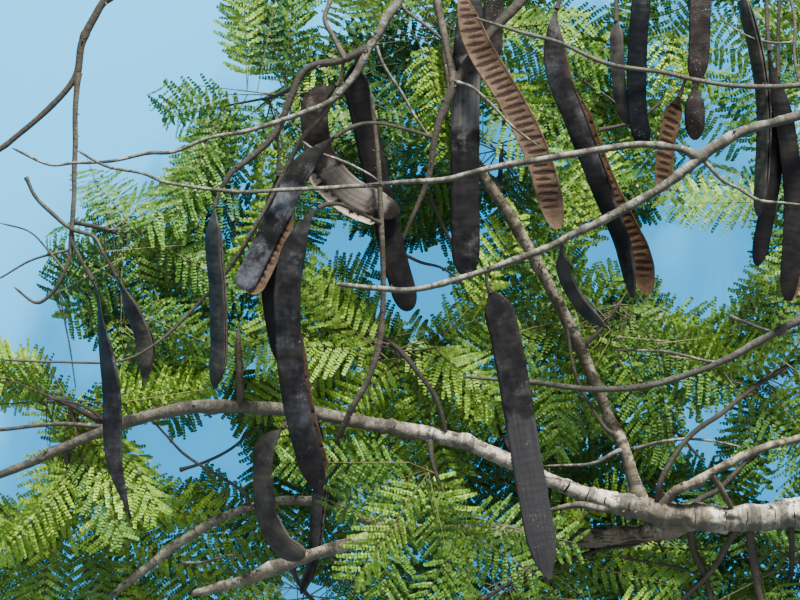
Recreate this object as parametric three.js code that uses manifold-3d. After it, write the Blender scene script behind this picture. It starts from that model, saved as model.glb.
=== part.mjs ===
// A bough of a flame tree with its long woody pods, cut off at the thick end and laid on the ground.
// It lies on its leafy side, so the limbs and the pods are on top, as they are seen from below in the tree.
// Millimetres, +Z up, +X towards the cut end. The origin is on the ground, under the middle of the bough.

import * as THREE from "three";
import { mergeVertices } from "three/addons/utils/BufferGeometryUtils.js";
import Module from "manifold-3d";

const wasm = await Module();
wasm.setup();

// A place is read off an 800 x 600 picture as column and row, with its real height above the ground.
// The picture is taken from straight above, so a lower place lies a little further out.
const PICTURE_MIDDLE = { column: 400, row: 300 };
const PICTURE_PLACE = { x: -97.4, y: 15.1 };
const MM_PER_PIXEL = 1.6;
const SCALE_HEIGHT = 300;
const EYE_HEIGHT = 4000;

// Clearances between a piece and what carries it, and between a leaf and everything else.
const SEAT_GAP = 0.3;
const LEAF_GAP = 1.2;

// How far a face may move when needlessly small ones are merged.
const FACE_TOLERANCE = 0.08;

// A limb that starts thicker than this has old bark.
const THICK_LIMB = 20;

// A pod: a flat woody strap on a round stalk. Its shoulder, point and neck are shares of its length past
// the stalk.
const POD_THICKNESS = 11;
const STALK_RADIUS = 2.6;
const POD_SHOULDER = 0.2;
const POD_POINT = 0.13;
const NECK_SHARE = 0.12;
const NECK_DEPTH = 0.7;

// A compound leaf: a rib with paired lobes, each lobe standing for two or three of its real side leaflets.
// It may cross the twigs and leaves of its own mass by the root volume, where it grows from them.
const FROND_LENGTH = 270;
const FROND_WIDTH = 140;
const FROND_THICKNESS = 3.2;
const FROND_RIB = 2.2;
const FROND_STALK = 0.14;
const FROND_PAIRS = 5;
const FROND_TRIES = 400;
const ROOT_VOLUME = 60;

// The twigs inside a mass of leaves.
const TWIG_SIDES = 3;
const TWIG_LENGTH = 85;
const TWIG_THICKNESS = 7;

const COLOURS = {
  bark: { color: "#a8977c", roughness: 0.88 },
  young_bark: { color: "#8f735a", roughness: 0.8 },
  pod: { color: "#35302f", roughness: 0.55 },
  pod_inside: { color: "#9a6d4c", roughness: 0.75 },
  leaf: { color: "#4f8a2c", roughness: 0.6 },
};

// Each limb: what carries it, and its route as column, row, height and thickness.
const LIMBS = {
  main_bough: {
    sides: 10,
    route: [
      [1010, 478, 27, 62], [950, 487, 78, 59], [880, 505, 145, 53], [809, 513, 185, 48], [749, 519, 200, 40],
      [687, 515, 207, 35], [647, 510, 208, 38], [589, 495, 205, 28], [551, 481, 203, 21],
      [518, 464, 201, 23], [481, 449, 199, 25], [442, 436, 198, 23], [402, 429, 198, 24],
      [323, 416, 195, 22], [283, 410, 194, 21], [203, 407, 189, 21],
      [146, 417, 182, 19], [104, 430, 171, 17], [66, 446, 155, 16], [35, 461, 141, 15], [-15, 480, 118, 12],
    ],
  },
  upright_limb: {
    carrier: "main_bough",
    sides: 8,
    route: [
      [642, 509, 207, 23], [623, 447, 203, 18], [606, 410, 195, 18], [575, 336, 186, 18],
      [539, 267, 184, 19], [508, 213, 184, 20], [486, 179, 184, 17], [457, 118, 184, 13], [446, 62, 184, 11],
    ],
  },
  right_limb: {
    carrier: "main_bough",
    sides: 7,
    route: [
      [660, 510, 209, 16], [675, 491, 227, 15], [694, 483, 231, 14], [719, 468, 231, 13],
      [757, 450, 228, 12], [800, 438, 220, 11], [848, 424, 205, 9],
    ],
  },
  low_limb: {
    carrier: "main_bough",
    sides: 8,
    route: [
      [706, 515, 205, 30], [662, 531, 182, 29], [630, 535, 173, 27], [589, 537, 169, 30],
      [549, 537, 167, 29], [480, 532, 166, 24], [429, 532, 165, 21], [371, 538, 163, 21],
      [312, 555, 158, 21], [275, 569, 151, 20], [238, 582, 143, 16], [192, 594, 130, 12],
    ],
  },
  low_side_limb: {
    carrier: "low_limb",
    sides: 7,
    route: [
      [425, 532, 165, 17], [386, 524, 155, 19], [368, 520, 149, 19], [330, 504, 127, 18],
      [292, 500, 115, 15], [253, 506, 109, 14], [213, 522, 103, 16], [179, 543, 98, 16], [148, 567, 92, 15],
      [115, 593, 83, 13], [98, 608, 76, 10],
    ],
  },
  middle_shoot: {
    carrier: "low_side_limb",
    sides: 6,
    route: [
      [333, 504, 129, 12], [334, 478, 170, 11], [337, 445, 212, 11], [350, 412, 238, 10], [368, 380, 248, 10],
      [378, 350, 254, 10], [383, 300, 262, 9], [382, 240, 270, 9], [378, 160, 276, 8], [371, 92, 280, 7],
    ],
  },
  front_branch: {
    carrier: "top_riser",
    sides: 7,
    route: [
      [917, 95, 250, 23], [862, 98, 300, 21], [812, 111, 330, 17], [774, 123, 343, 15], [735, 134, 350, 17],
      [704, 155, 352, 18], [671, 181, 353, 14], [639, 201, 353, 14], [601, 221, 353, 13],
      [566, 238, 353, 11], [549, 247, 353, 11], [510, 262, 353, 10], [454, 280, 350, 9],
      [413, 290, 347, 9], [374, 288, 344, 9], [336, 284, 342, 7],
    ],
  },
  front_fork: {
    carrier: "front_branch",
    sides: 6,
    route: [
      [699, 158, 352, 13], [680, 149, 356, 11], [639, 145, 358, 11], [562, 156, 357, 11], [483, 170, 350, 9],
      [442, 180, 342, 9], [404, 182, 330, 8], [363, 186, 319, 7], [284, 190, 341, 7], [242, 192, 347, 6],
      [165, 182, 352, 5], [144, 174, 353, 5], [106, 166, 354, 5], [78, 151, 354, 4],
    ],
  },
  fine_twig: {
    carrier: "top_riser",
    sides: 5,
    route: [
      [913, 70, 249, 9], [855, 78, 300, 8], [800, 85, 320, 8], [757, 87, 327, 8], [706, 82, 335, 7],
      [665, 73, 344, 7], [605, 63, 350, 7], [558, 42, 352, 6], [520, 32, 354, 6], [475, 18, 356, 4],
    ],
  },
  top_riser: {
    carrier: "main_bough",
    sides: 8,
    route: [
      [935, 490, 92, 40], [944, 440, 140, 38], [943, 350, 196, 36], [936, 250, 228, 34], [922, 130, 246, 32],
      [905, 35, 250, 30],
    ],
  },
  top_limb: {
    carrier: "top_riser",
    sides: 8,
    route: [
      [905, 42, 250, 29], [885, -20, 250, 28], [830, -62, 250, 27], [740, -82, 250, 25], [620, -88, 250, 22],
      [500, -84, 250, 19], [400, -76, 250, 17], [290, -80, 248, 15], [190, -74, 244, 13], [128, -62, 240, 11],
    ],
  },
  top_fork: {
    carrier: "top_limb",
    sides: 7,
    route: [
      [560, -86, 250, 17], [537, -32, 290, 16], [521, 0, 308, 16], [488, 37, 317, 15], [456, 82, 317, 14],
      [437, 130, 315, 12], [429, 176, 309, 9], [403, 240, 296, 6],
    ],
  },
  upper_left_branch: {
    carrier: "top_limb",
    sides: 6,
    route: [
      [425, -78, 250, 15], [402, -8, 300, 14], [375, 38, 322, 13], [354, 76, 330, 12], [332, 100, 334, 9],
      [305, 112, 336, 8], [247, 131, 340, 7], [209, 138, 341, 6], [173, 152, 341, 6], [150, 153, 341, 6],
      [112, 161, 341, 5], [74, 163, 339, 5], [51, 165, 337, 5], [12, 148, 334, 4],
    ],
  },
  cross_twig: {
    carrier: "upper_left_branch",
    sides: 5,
    route: [
      [338, 93, 333, 9], [318, 120, 324, 9], [300, 142, 314, 8], [279, 183, 303, 8], [258, 222, 298, 7],
      [225, 274, 283, 6], [200, 302, 274, 6], [153, 346, 262, 5], [120, 361, 255, 4], [60, 362, 246, 4],
      [4, 360, 238, 4],
    ],
  },
  dark_branch: {
    carrier: "upper_left_branch",
    sides: 6,
    route: [
      [368, 49, 325, 12], [341, 60, 318, 12], [306, 70, 305, 12], [291, 97, 298, 11], [278, 130, 292, 11],
      [248, 160, 292, 10], [232, 172, 297, 9], [221, 188, 302, 8],
    ],
  },
  left_branch: {
    carrier: "top_limb",
    sides: 6,
    route: [
      [150, -66, 241, 15], [112, -5, 238, 15], [103, 3, 237, 13], [83, 40, 234, 13], [75, 77, 232, 11],
      [49, 108, 229, 10], [18, 135, 227, 9], [3, 147, 226, 9], [-28, 168, 224, 7],
    ],
  },
  left_hanger: {
    carrier: "left_branch",
    sides: 6,
    route: [
      [78, 73, 232, 10], [75, 115, 237, 9], [75, 150, 241, 9], [74, 190, 246, 8], [71, 240, 250, 8],
      [68, 264, 249, 7], [52, 293, 244, 6], [37, 303, 240, 5], [14, 287, 236, 4],
    ],
  },
  left_twig: {
    carrier: "left_hanger",
    sides: 5,
    route: [
      [26, 177, 262, 6], [35, 196, 261, 6], [52, 213, 258, 7], [72, 229, 255, 7], [94, 237, 258, 6],
      [104, 256, 257, 5],
    ],
  },
  right_branch: {
    carrier: "top_riser",
    sides: 7,
    route: [
      [939, 290, 217, 15], [870, 298, 226, 14], [800, 320, 230, 13], [760, 341, 231, 13], [720, 362, 232, 12],
      [680, 377, 232, 11], [640, 387, 232, 11], [590, 389, 231, 10], [530, 382, 228, 8], [465, 377, 224, 5],
    ],
  },
};

// Each pod: what carries it, the share of its route that is stalk, its width, its roll and twist in degrees,
// and its route as column, row and height. Some have a shoulder or a point of their own, and one has a neck.
const PODS = {
  pod_front_long: {
    carrier: "front_branch", stalk: 0.035, width: 48, roll: 0, twist: 0, shoulder: 0.1,
    route: [
      [486, 273, 352], [488, 286, 351], [497, 305, 350], [508, 350, 350], [525, 450, 347], [543, 550, 341],
      [549, 580, 339],
    ],
  },
  pod_open_valve: {
    carrier: "top_limb", stalk: 0.2, width: 41, roll: 0, twist: 0, shoulder: 0.26,
    route: [
      [450, -79, 250], [455, -45, 295], [463, 0, 335], [478, 45, 341], [511, 100, 341], [537, 154, 337],
      [558, 229, 328],
    ],
  },
  pod_dark_middle: {
    carrier: "top_limb", stalk: 0.16, width: 46, roll: 0, twist: 0, point: 0.09,
    route: [
      [480, -84, 250], [477, -40, 276], [473, 0, 290], [467, 60, 296], [465, 170, 296],
      [466, 276, 293],
    ],
  },
  pod_top_behind: {
    carrier: "top_limb", stalk: 0.22, width: 34, roll: -15, twist: 0,
    route: [[502, -84, 250], [496, -30, 262], [493, 10, 267], [493, 60, 268]],
  },
  pod_hung_left: {
    carrier: "middle_shoot", stalk: 0.18, width: 42, roll: 8, twist: 0, shoulder: 0.24,
    route: [
      [382, 224, 271], [358, 212, 300], [338, 204, 318], [318, 208, 330], [300, 234, 334], [288, 283, 335],
      [295, 394, 330], [319, 491, 316],
    ],
  },
  pod_speckled: {
    carrier: "top_fork", stalk: 0.34, width: 36, roll: 0, twist: 0, shoulder: 0.3, point: 0.07,
    route: [
      [435, 138, 314], [405, 129, 319], [376, 123, 322], [352, 127, 324], [306, 163, 325], [276, 223, 322],
      [243, 290, 317],
    ],
  },
  pod_behind_shoot: {
    carrier: "upper_left_branch", stalk: 0.1, width: 41, roll: 0, twist: 0, shoulder: 0.12, point: 0.08,
    route: [
      [371, 43, 323], [359, 56, 290], [355, 76, 262], [367, 133, 244], [388, 231, 234],
      [409, 311, 231],
    ],
  },
  pod_twisted: {
    carrier: "dark_branch", stalk: 0.1, width: 44, roll: 20, twist: -35,
    route: [
      [344, 59, 319], [338, 84, 312], [318, 97, 305], [315, 128, 302], [325, 164, 291], [350, 192, 265],
      [399, 214, 249],
    ],
  },
  pod_narrow_left: {
    carrier: "dark_branch", stalk: 0.08, width: 38, roll: 48, twist: 0, point: 0.08,
    route: [
      [222, 186, 301], [215, 205, 305], [214, 250, 307], [217, 290, 306], [218, 350, 303],
      [214, 389, 300],
    ],
  },
  pod_behind_left: {
    carrier: "dark_branch", stalk: 0.15, width: 36, roll: 10, twist: 0,
    route: [[277, 134, 291], [279, 155, 282], [276, 200, 275], [272, 290, 270], [285, 366, 266]],
  },
  pod_low_narrow: {
    carrier: "main_bough", stalk: 0.1, width: 26, roll: 20, twist: 45,
    route: [
      [316, 414, 195], [321, 436, 188], [322, 470, 166], [317, 515, 146], [313, 560, 131],
      [301, 594, 128],
    ],
  },
  pod_low_hooked: {
    carrier: "main_bough", stalk: 0.08, width: 34, roll: 15, twist: 0,
    route: [
      [292, 412, 194], [284, 426, 204], [266, 446, 208], [263, 480, 206], [268, 520, 200], [285, 548, 196],
      [305, 556, 194],
    ],
  },
  pod_left_long: {
    carrier: "left_hanger", stalk: 0.14, width: 38, roll: 70, twist: -70, shoulder: 0.4, point: 0.36,
    route: [
      [71, 240, 250], [80, 258, 262], [97, 290, 278], [101, 322, 284], [112, 395, 285], [114, 460, 281],
      [131, 519, 273],
    ],
  },
  pod_left_short: {
    carrier: "left_twig", stalk: 0.16, width: 30, roll: 60, twist: -60, shoulder: 0.35,
    route: [[103, 253, 257], [113, 270, 255], [130, 305, 247], [145, 345, 241], [144, 385, 238]],
  },
  pod_split: {
    carrier: "top_limb", stalk: 0.24, width: 34, roll: -10, twist: 75,
    route: [
      [571, -87, 250], [566, -20, 296], [554, 22, 320], [558, 75, 325], [576, 122, 325], [603, 194, 323],
      [624, 250, 318], [633, 298, 315],
    ],
    valve: {
      width: 36, stalk: 0.24, roll: -10, twist: 20,
      route: [
        [562, 2, 308], [564, 60, 305], [580, 115, 305], [604, 180, 303], [624, 222, 301], [639, 252, 299],
        [648, 295, 296],
      ],
    },
  },
  pod_blue_black: {
    carrier: "top_limb", stalk: 0.3, width: 31, roll: 10, twist: 0, point: 0.08,
    route: [
      [644, -87, 250], [643, -40, 292], [641, 0, 322], [637, 60, 327], [638, 115, 326],
      [644, 145, 324],
    ],
  },
  pod_blue_behind: {
    carrier: "top_limb", stalk: 0.5, width: 24, roll: 35, twist: 0,
    route: [[614, -88, 250], [616, -20, 286], [617, 50, 300], [620, 90, 302], [628, 124, 301]],
  },
  pod_small_open: {
    carrier: "fine_twig", stalk: 0.14, width: 28, roll: 0, twist: 0,
    route: [[686, 78, 339], [680, 94, 330], [672, 118, 325], [665, 155, 321], [663, 192, 317]],
  },
  pod_necked: {
    carrier: "top_limb", stalk: 0.22, width: 34, roll: 0, twist: 0, neck: 0.71,
    route: [
      [700, -86, 250], [700, -40, 278], [700, 0, 292], [699, 50, 298], [695, 92, 299],
      [695, 140, 298],
    ],
  },
  pod_right_edge_on: {
    carrier: "top_limb", stalk: 0.2, width: 34, roll: 66, twist: 0,
    route: [
      [736, -83, 250], [740, -30, 276], [745, 5, 290], [755, 50, 297], [763, 100, 300], [762, 170, 303],
      [758, 216, 303],
    ],
  },
  pod_right_short: {
    carrier: "top_limb", stalk: 0.42, width: 27, roll: 0, twist: 0, shoulder: 0.3,
    route: [
      [779, -76, 250], [780, -20, 262], [778, 50, 268], [779, 110, 271], [774, 170, 271],
      [757, 266, 268],
    ],
  },
  pod_right_long: {
    carrier: "top_limb", stalk: 0.32, width: 31, roll: 8, twist: 0, shoulder: 0.3,
    route: [
      [763, -79, 250], [766, -20, 276], [770, 60, 289], [786, 130, 291], [794, 210, 289],
      [788, 301, 284],
    ],
  },
  pod_small_behind: {
    carrier: "front_branch", stalk: 0.12, width: 27, roll: 42, twist: 0,
    route: [[562, 240, 353], [562, 254, 331], [566, 277, 318], [585, 310, 312], [605, 327, 308]],
  },
};

// Each mass of leaves: what carries it, its stem as column, row, height and thickness, the number of its
// twigs and leaves, how far it reaches from its heart, its lowest and highest heights, and its seed.
// Its heart is the stem's end.
const MASSES = {
  leaves_top_left: {
    carrier: "dark_branch", twigs: 3, leaves: 4, reach: 325, heights: [0.5, 262], seed: 101,
    stem: [[297, 85, 301, 9], [284, 92, 240, 8], [262, 100, 150, 7]],
  },
  leaves_top_middle: {
    carrier: "upright_limb", twigs: 3, leaves: 4, reach: 345, heights: [96, 232], seed: 102,
    stem: [[446, 64, 184, 9], [443, 42, 178, 8], [438, 12, 168, 7]],
  },
  leaves_top_right: {
    carrier: "top_limb", twigs: 3, leaves: 4, reach: 335, heights: [0.5, 236], seed: 103,
    stem: [[700, -86, 250, 10], [694, -40, 210, 9], [690, 10, 150, 7]],
  },
  leaves_right_high: {
    carrier: "top_riser", twigs: 3, leaves: 4, reach: 325, heights: [0.5, 222], seed: 104,
    stem: [[932, 200, 236, 11], [890, 196, 190, 9], [846, 184, 130, 7]],
  },
  leaves_left_high: {
    carrier: "left_hanger", twigs: 3, leaves: 4, reach: 280, heights: [0.5, 226], seed: 205,
    stem: [[73, 222, 249, 7], [92, 226, 215, 7], [128, 236, 140, 6]],
  },
  leaves_left: {
    carrier: "main_bough", twigs: 2, leaves: 3, reach: 305, heights: [60, 205], seed: 106,
    stem: [[111, 428, 173, 10], [84, 412, 158, 8], [40, 392, 126, 7]],
  },
  leaves_middle: {
    carrier: "main_bough", twigs: 3, leaves: 4, reach: 355, heights: [96, 222], seed: 107,
    stem: [
      [447, 441, 198, 9], [436, 398, 217, 8], [415, 369, 222, 8], [395, 346, 212, 7], [350, 318, 160, 6],
    ],
  },
  leaves_right_middle: {
    carrier: "upright_limb", twigs: 3, leaves: 4, reach: 345, heights: [96, 214], seed: 108,
    stem: [[580, 348, 188, 10], [600, 330, 160, 8], [622, 300, 140, 7]],
  },
  leaves_right: {
    carrier: "main_bough", twigs: 3, leaves: 4, reach: 335, heights: [0.5, 214], seed: 109,
    stem: [
      [650, 503, 208, 10], [655, 480, 226, 10], [669, 456, 228, 9], [690, 433, 226, 9], [722, 413, 218, 8],
      [756, 386, 200, 8], [796, 360, 150, 7],
    ],
  },
  leaves_low_left: {
    carrier: "main_bough", twigs: 3, leaves: 4, reach: 335, heights: [0.5, 140], seed: 110,
    stem: [[66, 447, 155, 10], [68, 490, 128, 8], [66, 530, 92, 7]],
  },
  leaves_low_middle: {
    carrier: "main_bough", twigs: 2, leaves: 2, reach: 330, heights: [150, 268], seed: 212,
    stem: [[430, 437, 199, 9], [432, 458, 222, 8], [440, 486, 226, 7]],
  },
  leaves_bottom: {
    carrier: "low_limb", twigs: 3, leaves: 4, reach: 335, heights: [96, 210], seed: 112,
    stem: [[520, 536, 167, 10], [524, 566, 158, 8], [528, 602, 140, 7]],
  },
  leaves_bottom_right: {
    carrier: "main_bough", twigs: 3, leaves: 4, reach: 345, heights: [0.5, 222], seed: 113,
    stem: [[790, 515, 190, 11], [792, 552, 160, 9], [790, 588, 120, 7]],
  },
  bed_top: {
    carrier: "upright_limb", twigs: 3, leaves: 4, reach: 375, heights: [0.5, 90], seed: 114,
    stem: [[497, 200, 184, 9], [500, 176, 120, 8], [502, 140, 52, 7]],
  },
  bed_left: {
    carrier: "main_bough", twigs: 3, leaves: 4, reach: 375, heights: [0.5, 90], seed: 115,
    stem: [[238, 408, 192, 13], [238, 380, 150, 11], [236, 350, 60, 8]],
  },
  bed_middle: {
    carrier: "main_bough", twigs: 3, leaves: 4, reach: 375, heights: [0.5, 90], seed: 116,
    stem: [[520, 465, 202, 10], [500, 430, 130, 8], [470, 390, 55, 7]],
  },
  bed_low: {
    carrier: "low_limb", twigs: 3, leaves: 4, reach: 375, heights: [0.5, 90], seed: 117,
    stem: [[290, 563, 154, 10], [300, 585, 105, 8], [318, 606, 52, 7]],
  },
  bed_low_right: {
    carrier: "low_limb", twigs: 3, leaves: 4, reach: 365, heights: [0.5, 90], seed: 118,
    stem: [[590, 538, 169, 10], [596, 566, 110, 8], [604, 596, 52, 7]],
  },
};

// Turns column, row and height into a point.
function place([column, row, height]) {
  const spread = (MM_PER_PIXEL * (EYE_HEIGHT - height)) / (EYE_HEIGHT - SCALE_HEIGHT);
  return new THREE.Vector3(
    PICTURE_PLACE.x + (column - PICTURE_MIDDLE.column) * spread,
    PICTURE_PLACE.y + (PICTURE_MIDDLE.row - row) * spread,
    height,
  );
}

// A smooth step from 0 to 1.
function ease(share) {
  const s = THREE.MathUtils.clamp(share, 0, 1);
  return s * s * (3 - 2 * s);
}

// A repeatable source of numbers from 0 to 1.
function seeded(seed) {
  let state = seed;
  return () => {
    state = (state * 1664525 + 1013904223) % 4294967296;
    return state / 4294967296;
  };
}

// Makes a manifold solid of a three.js geometry.
function toSolid(geometry) {
  const bare = geometry.clone();
  bare.deleteAttribute("normal");
  bare.deleteAttribute("uv");
  const merged = mergeVertices(bare, 1e-4);
  return new wasm.Manifold(
    new wasm.Mesh({
      numProp: 3,
      vertProperties: merged.getAttribute("position").array,
      triVerts: new Uint32Array(merged.index.array),
    }),
  );
}

// Makes a three.js geometry of a manifold solid.
function toGeometry(solid) {
  const mesh = solid.getMesh();
  const geometry = new THREE.BufferGeometry();
  geometry.setAttribute("position", new THREE.BufferAttribute(new Float32Array(mesh.vertProperties), 3));
  geometry.setIndex(new THREE.BufferAttribute(new Uint32Array(mesh.triVerts), 1));
  geometry.computeVertexNormals();
  return geometry;
}

// The largest body of a solid, without scraps or needlessly small faces.
function largest(solid) {
  const bodies = solid.simplify(FACE_TOLERANCE).decompose();
  return bodies.reduce((best, body) => (body.volume() > best.volume() ? body : best));
}

// Sweeps a section along stations, each with its centre, direction, half width, half depth and roll.
// With no roll the width lies level and the depth points up.
function sweep(stations, sides) {
  const last = stations.length - 1;
  const tube = new THREE.CylinderGeometry(1, 1, 1, sides, last, false, Math.PI / 2);
  const position = tube.getAttribute("position");
  const up = new THREE.Vector3(0, 0, 1);
  const frames = stations.map(({ centre, direction, halfWidth, halfDepth, roll }) => {
    const level = new THREE.Vector3().crossVectors(direction, up).normalize();
    const side = level.applyAxisAngle(direction, roll);
    const face = new THREE.Vector3().crossVectors(side, direction);
    return { centre, side: side.multiplyScalar(halfWidth), face: face.multiplyScalar(halfDepth) };
  });
  for (let i = 0; i < position.count; i++) {
    const frame = frames[Math.round((position.getY(i) + 0.5) * last)];
    const point = frame.centre
      .clone()
      .addScaledVector(frame.side, position.getX(i))
      .addScaledVector(frame.face, position.getZ(i));
    position.setXYZ(i, point.x, point.y, point.z);
  }
  return toSolid(tube);
}

// The stations of a tapering limb, one at each place of its route. grow makes it that much thicker all round.
function limbStations(route, grow) {
  const curve = new THREE.CatmullRomCurve3(route.map(place), false, "centripetal");
  return route.map((spot, i) => {
    const share = i / (route.length - 1);
    const radius = spot[3] / 2 + grow;
    return {
      centre: curve.getPoint(share),
      direction: curve.getTangent(share),
      halfWidth: radius,
      halfDepth: radius,
      roll: 0,
    };
  });
}

// A pod's width as a share of its full width, at a share of its length past the stalk.
function podOutline(share, { shoulder = POD_SHOULDER, point = POD_POINT, neck }) {
  const towardsPoint = Math.max(0, (share - 1 + point) / point);
  const waist = neck ? 1 - NECK_DEPTH * Math.exp(-(((share - neck) / NECK_SHARE) ** 2) * 3) : 1;
  return ease(share / shoulder) * Math.sqrt(1 - 0.97 * towardsPoint ** 2) * waist;
}

// The shares of a pod's length past the stalk that have a station, close together where its width changes.
function podShares({ shoulder = POD_SHOULDER, point = POD_POINT, neck }) {
  const third = (1 - point - shoulder) / 3;
  const middle = neck
    ? [neck - NECK_SHARE, neck, neck + NECK_SHARE]
    : [shoulder + third, shoulder + 2 * third, 1 - point];
  return [0, shoulder / 2, shoulder, ...middle, 1 - point * 0.3, 1];
}

// The stations of a pod, from the start of its stalk to its point.
function podStations(pod, grow) {
  const { route, stalk, width, roll, twist } = pod;
  const curve = new THREE.CatmullRomCurve3(route.map(place), false, "centripetal");
  const shares = [0, stalk / 2, ...podShares(pod).map((past) => THREE.MathUtils.lerp(stalk, 1, past))];
  return shares.map((share) => {
    const past = Math.max(0, (share - stalk) / (1 - stalk));
    const swell = podOutline(past, pod);
    return {
      centre: curve.getPointAt(share),
      direction: curve.getTangentAt(share),
      halfWidth: Math.max(STALK_RADIUS, (swell * width) / 2) + grow,
      halfDepth: Math.max(STALK_RADIUS, (swell * POD_THICKNESS) / 2) + grow,
      roll: THREE.MathUtils.degToRad(roll + twist * past),
    };
  });
}

// The flat outline of a leaf along +X: a rib with paired lobes that lean towards the tip.
function frondOutline(length, width) {
  const first = length * FROND_STALK;
  const pitch = (length - first) / (FROND_PAIRS + 0.4);
  const lobes = Array.from({ length: FROND_PAIRS }, (_, i) => {
    const start = first + pitch * i;
    const along = (start + pitch / 2 - first) / (length - first);
    const reach = (width / 2) * Math.sqrt(Math.sin(Math.PI * (0.16 + 0.74 * along)));
    return { start, reach, tip: start + pitch * 0.6 + reach * 0.38 };
  });
  const outline = [new THREE.Vector2(0, -FROND_RIB)];
  for (const { start, reach, tip } of lobes) {
    outline.push(new THREE.Vector2(start, -FROND_RIB), new THREE.Vector2(tip, -reach));
  }
  outline.push(new THREE.Vector2(length, 0));
  for (const { start, reach, tip } of lobes.reverse()) {
    outline.push(new THREE.Vector2(tip, reach), new THREE.Vector2(start, FROND_RIB));
  }
  outline.push(new THREE.Vector2(0, FROND_RIB));
  return new THREE.Shape(outline);
}

// A leaf from a root along a heading, arching down by its droop and turned about its rib by its roll.
function frond({ root, heading, pitch, droop, roll, length, width }, thickness) {
  const forward = new THREE.Vector3(Math.cos(heading), Math.sin(heading), 0);
  const up = new THREE.Vector3(0, 0, 1);
  const rising = (angle) =>
    forward.clone().multiplyScalar(Math.cos(angle)).addScaledVector(up, Math.sin(angle));
  const leave = rising(pitch);
  const arrive = rising(pitch - droop);
  const middle = root.clone().addScaledVector(leave, length / 2);
  const tip = middle.clone().addScaledVector(arrive, length / 2);
  const rib = new THREE.QuadraticBezierCurve3(root, middle, tip);
  const level = new THREE.Vector3().crossVectors(up, forward);
  const outline = frondOutline(length, width);
  const blade = new THREE.ExtrudeGeometry(outline, { depth: thickness, bevelEnabled: false });
  const position = blade.getAttribute("position");
  for (let i = 0; i < position.count; i++) {
    const share = THREE.MathUtils.clamp(position.getX(i) / length, 0, 1);
    const direction = rib.getTangent(share);
    const side = level.clone().applyAxisAngle(direction, roll);
    const face = new THREE.Vector3().crossVectors(direction, side);
    const point = rib
      .getPoint(share)
      .addScaledVector(side, position.getY(i))
      .addScaledVector(face, position.getZ(i) - thickness / 2);
    position.setXYZ(i, point.x, point.y, point.z);
  }
  return toSolid(blade);
}

// The limbs and the pods, each cut clear of what carries it, with a grown copy that keeps others away.
const carriers = {};
const obstacles = [];
const pieces = [];

function addPiece(name, solid, colour) {
  pieces.push({ name, solid, colour });
}

function seat(solid, carrier) {
  return carrier ? largest(solid.subtract(carriers[carrier])) : solid;
}

function addLimb(name) {
  if (carriers[name]) return;
  const { carrier, sides, route } = LIMBS[name];
  if (carrier) addLimb(carrier);
  carriers[name] = sweep(limbStations(route, SEAT_GAP), sides);
  obstacles.push(sweep(limbStations(route, LEAF_GAP), sides));
  const solid = seat(sweep(limbStations(route, 0), sides), carrier);
  addPiece(name, solid, route[0][3] > THICK_LIMB ? "bark" : "young_bark");
}

function addPod(name) {
  const pod = PODS[name];
  const build = (grow) => {
    const body = sweep(podStations(pod, grow), 6);
    return pod.valve ? body.add(sweep(podStations(pod.valve, grow), 6)) : body;
  };
  obstacles.push(build(LEAF_GAP));
  addPiece(name, seat(build(0), pod.carrier), name === "pod_open_valve" ? "pod_inside" : "pod");
}

Object.keys(LIMBS).forEach(addLimb);
Object.keys(PODS).forEach(addPod);

// The masses of leaves. A mass keeps within its reach of its own heart, between its lowest and highest
// heights, and clear of every limb, pod and stem and of the masses grown before it.
const stems = Object.fromEntries(
  Object.entries(MASSES).map(([name, { stem }]) => [name, sweep(limbStations(stem, LEAF_GAP), TWIG_SIDES)]),
);
const grownMasses = [];

function keepsToItsSpace({ stem, heights, reach }, solid, blocked) {
  const heart = place(stem.at(-1));
  const { vertProperties, numProp } = solid.getMesh();
  for (let i = 0; i < vertProperties.length; i += numProp) {
    const [x, y, z] = vertProperties.slice(i, i + 3);
    if (Math.hypot(x - heart.x, y - heart.y) > reach || z < heights[0] || z > heights[1]) return false;
  }
  return solid.intersect(blocked).isEmpty();
}

// A twig that leaves the stem near its end, in any direction, and rises or sinks to a height inside the mass.
function growTwig({ heights, twigs }, index, stemCurve, random) {
  const start = stemCurve.getPoint(0.86 + (0.12 * (index + 1)) / twigs);
  const heading = random() * 2 * Math.PI;
  const length = TWIG_LENGTH * (0.7 + 0.5 * random());
  const height = THREE.MathUtils.lerp(heights[0], heights[1], 0.1 + 0.55 * random());
  const end = start.clone().add(new THREE.Vector3(Math.cos(heading) * length, Math.sin(heading) * length, 0));
  end.z = THREE.MathUtils.clamp(height, start.z - length * 0.6, start.z + length * 0.6);
  const middle = start.clone().lerp(end, 0.5).add(new THREE.Vector3(0, 0, length * 0.06));
  const curve = new THREE.QuadraticBezierCurve3(start, middle, end);
  const stations = [0, 1].map((share) => {
    const radius = (TWIG_THICKNESS / 2) * (1 - 0.4 * share);
    return {
      centre: curve.getPoint(share),
      direction: curve.getTangent(0.5),
      halfWidth: radius,
      halfDepth: radius,
      roll: 0,
    };
  });
  return { start, end, heading, leaves: 0, solid: sweep(stations, TWIG_SIDES) };
}

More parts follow.
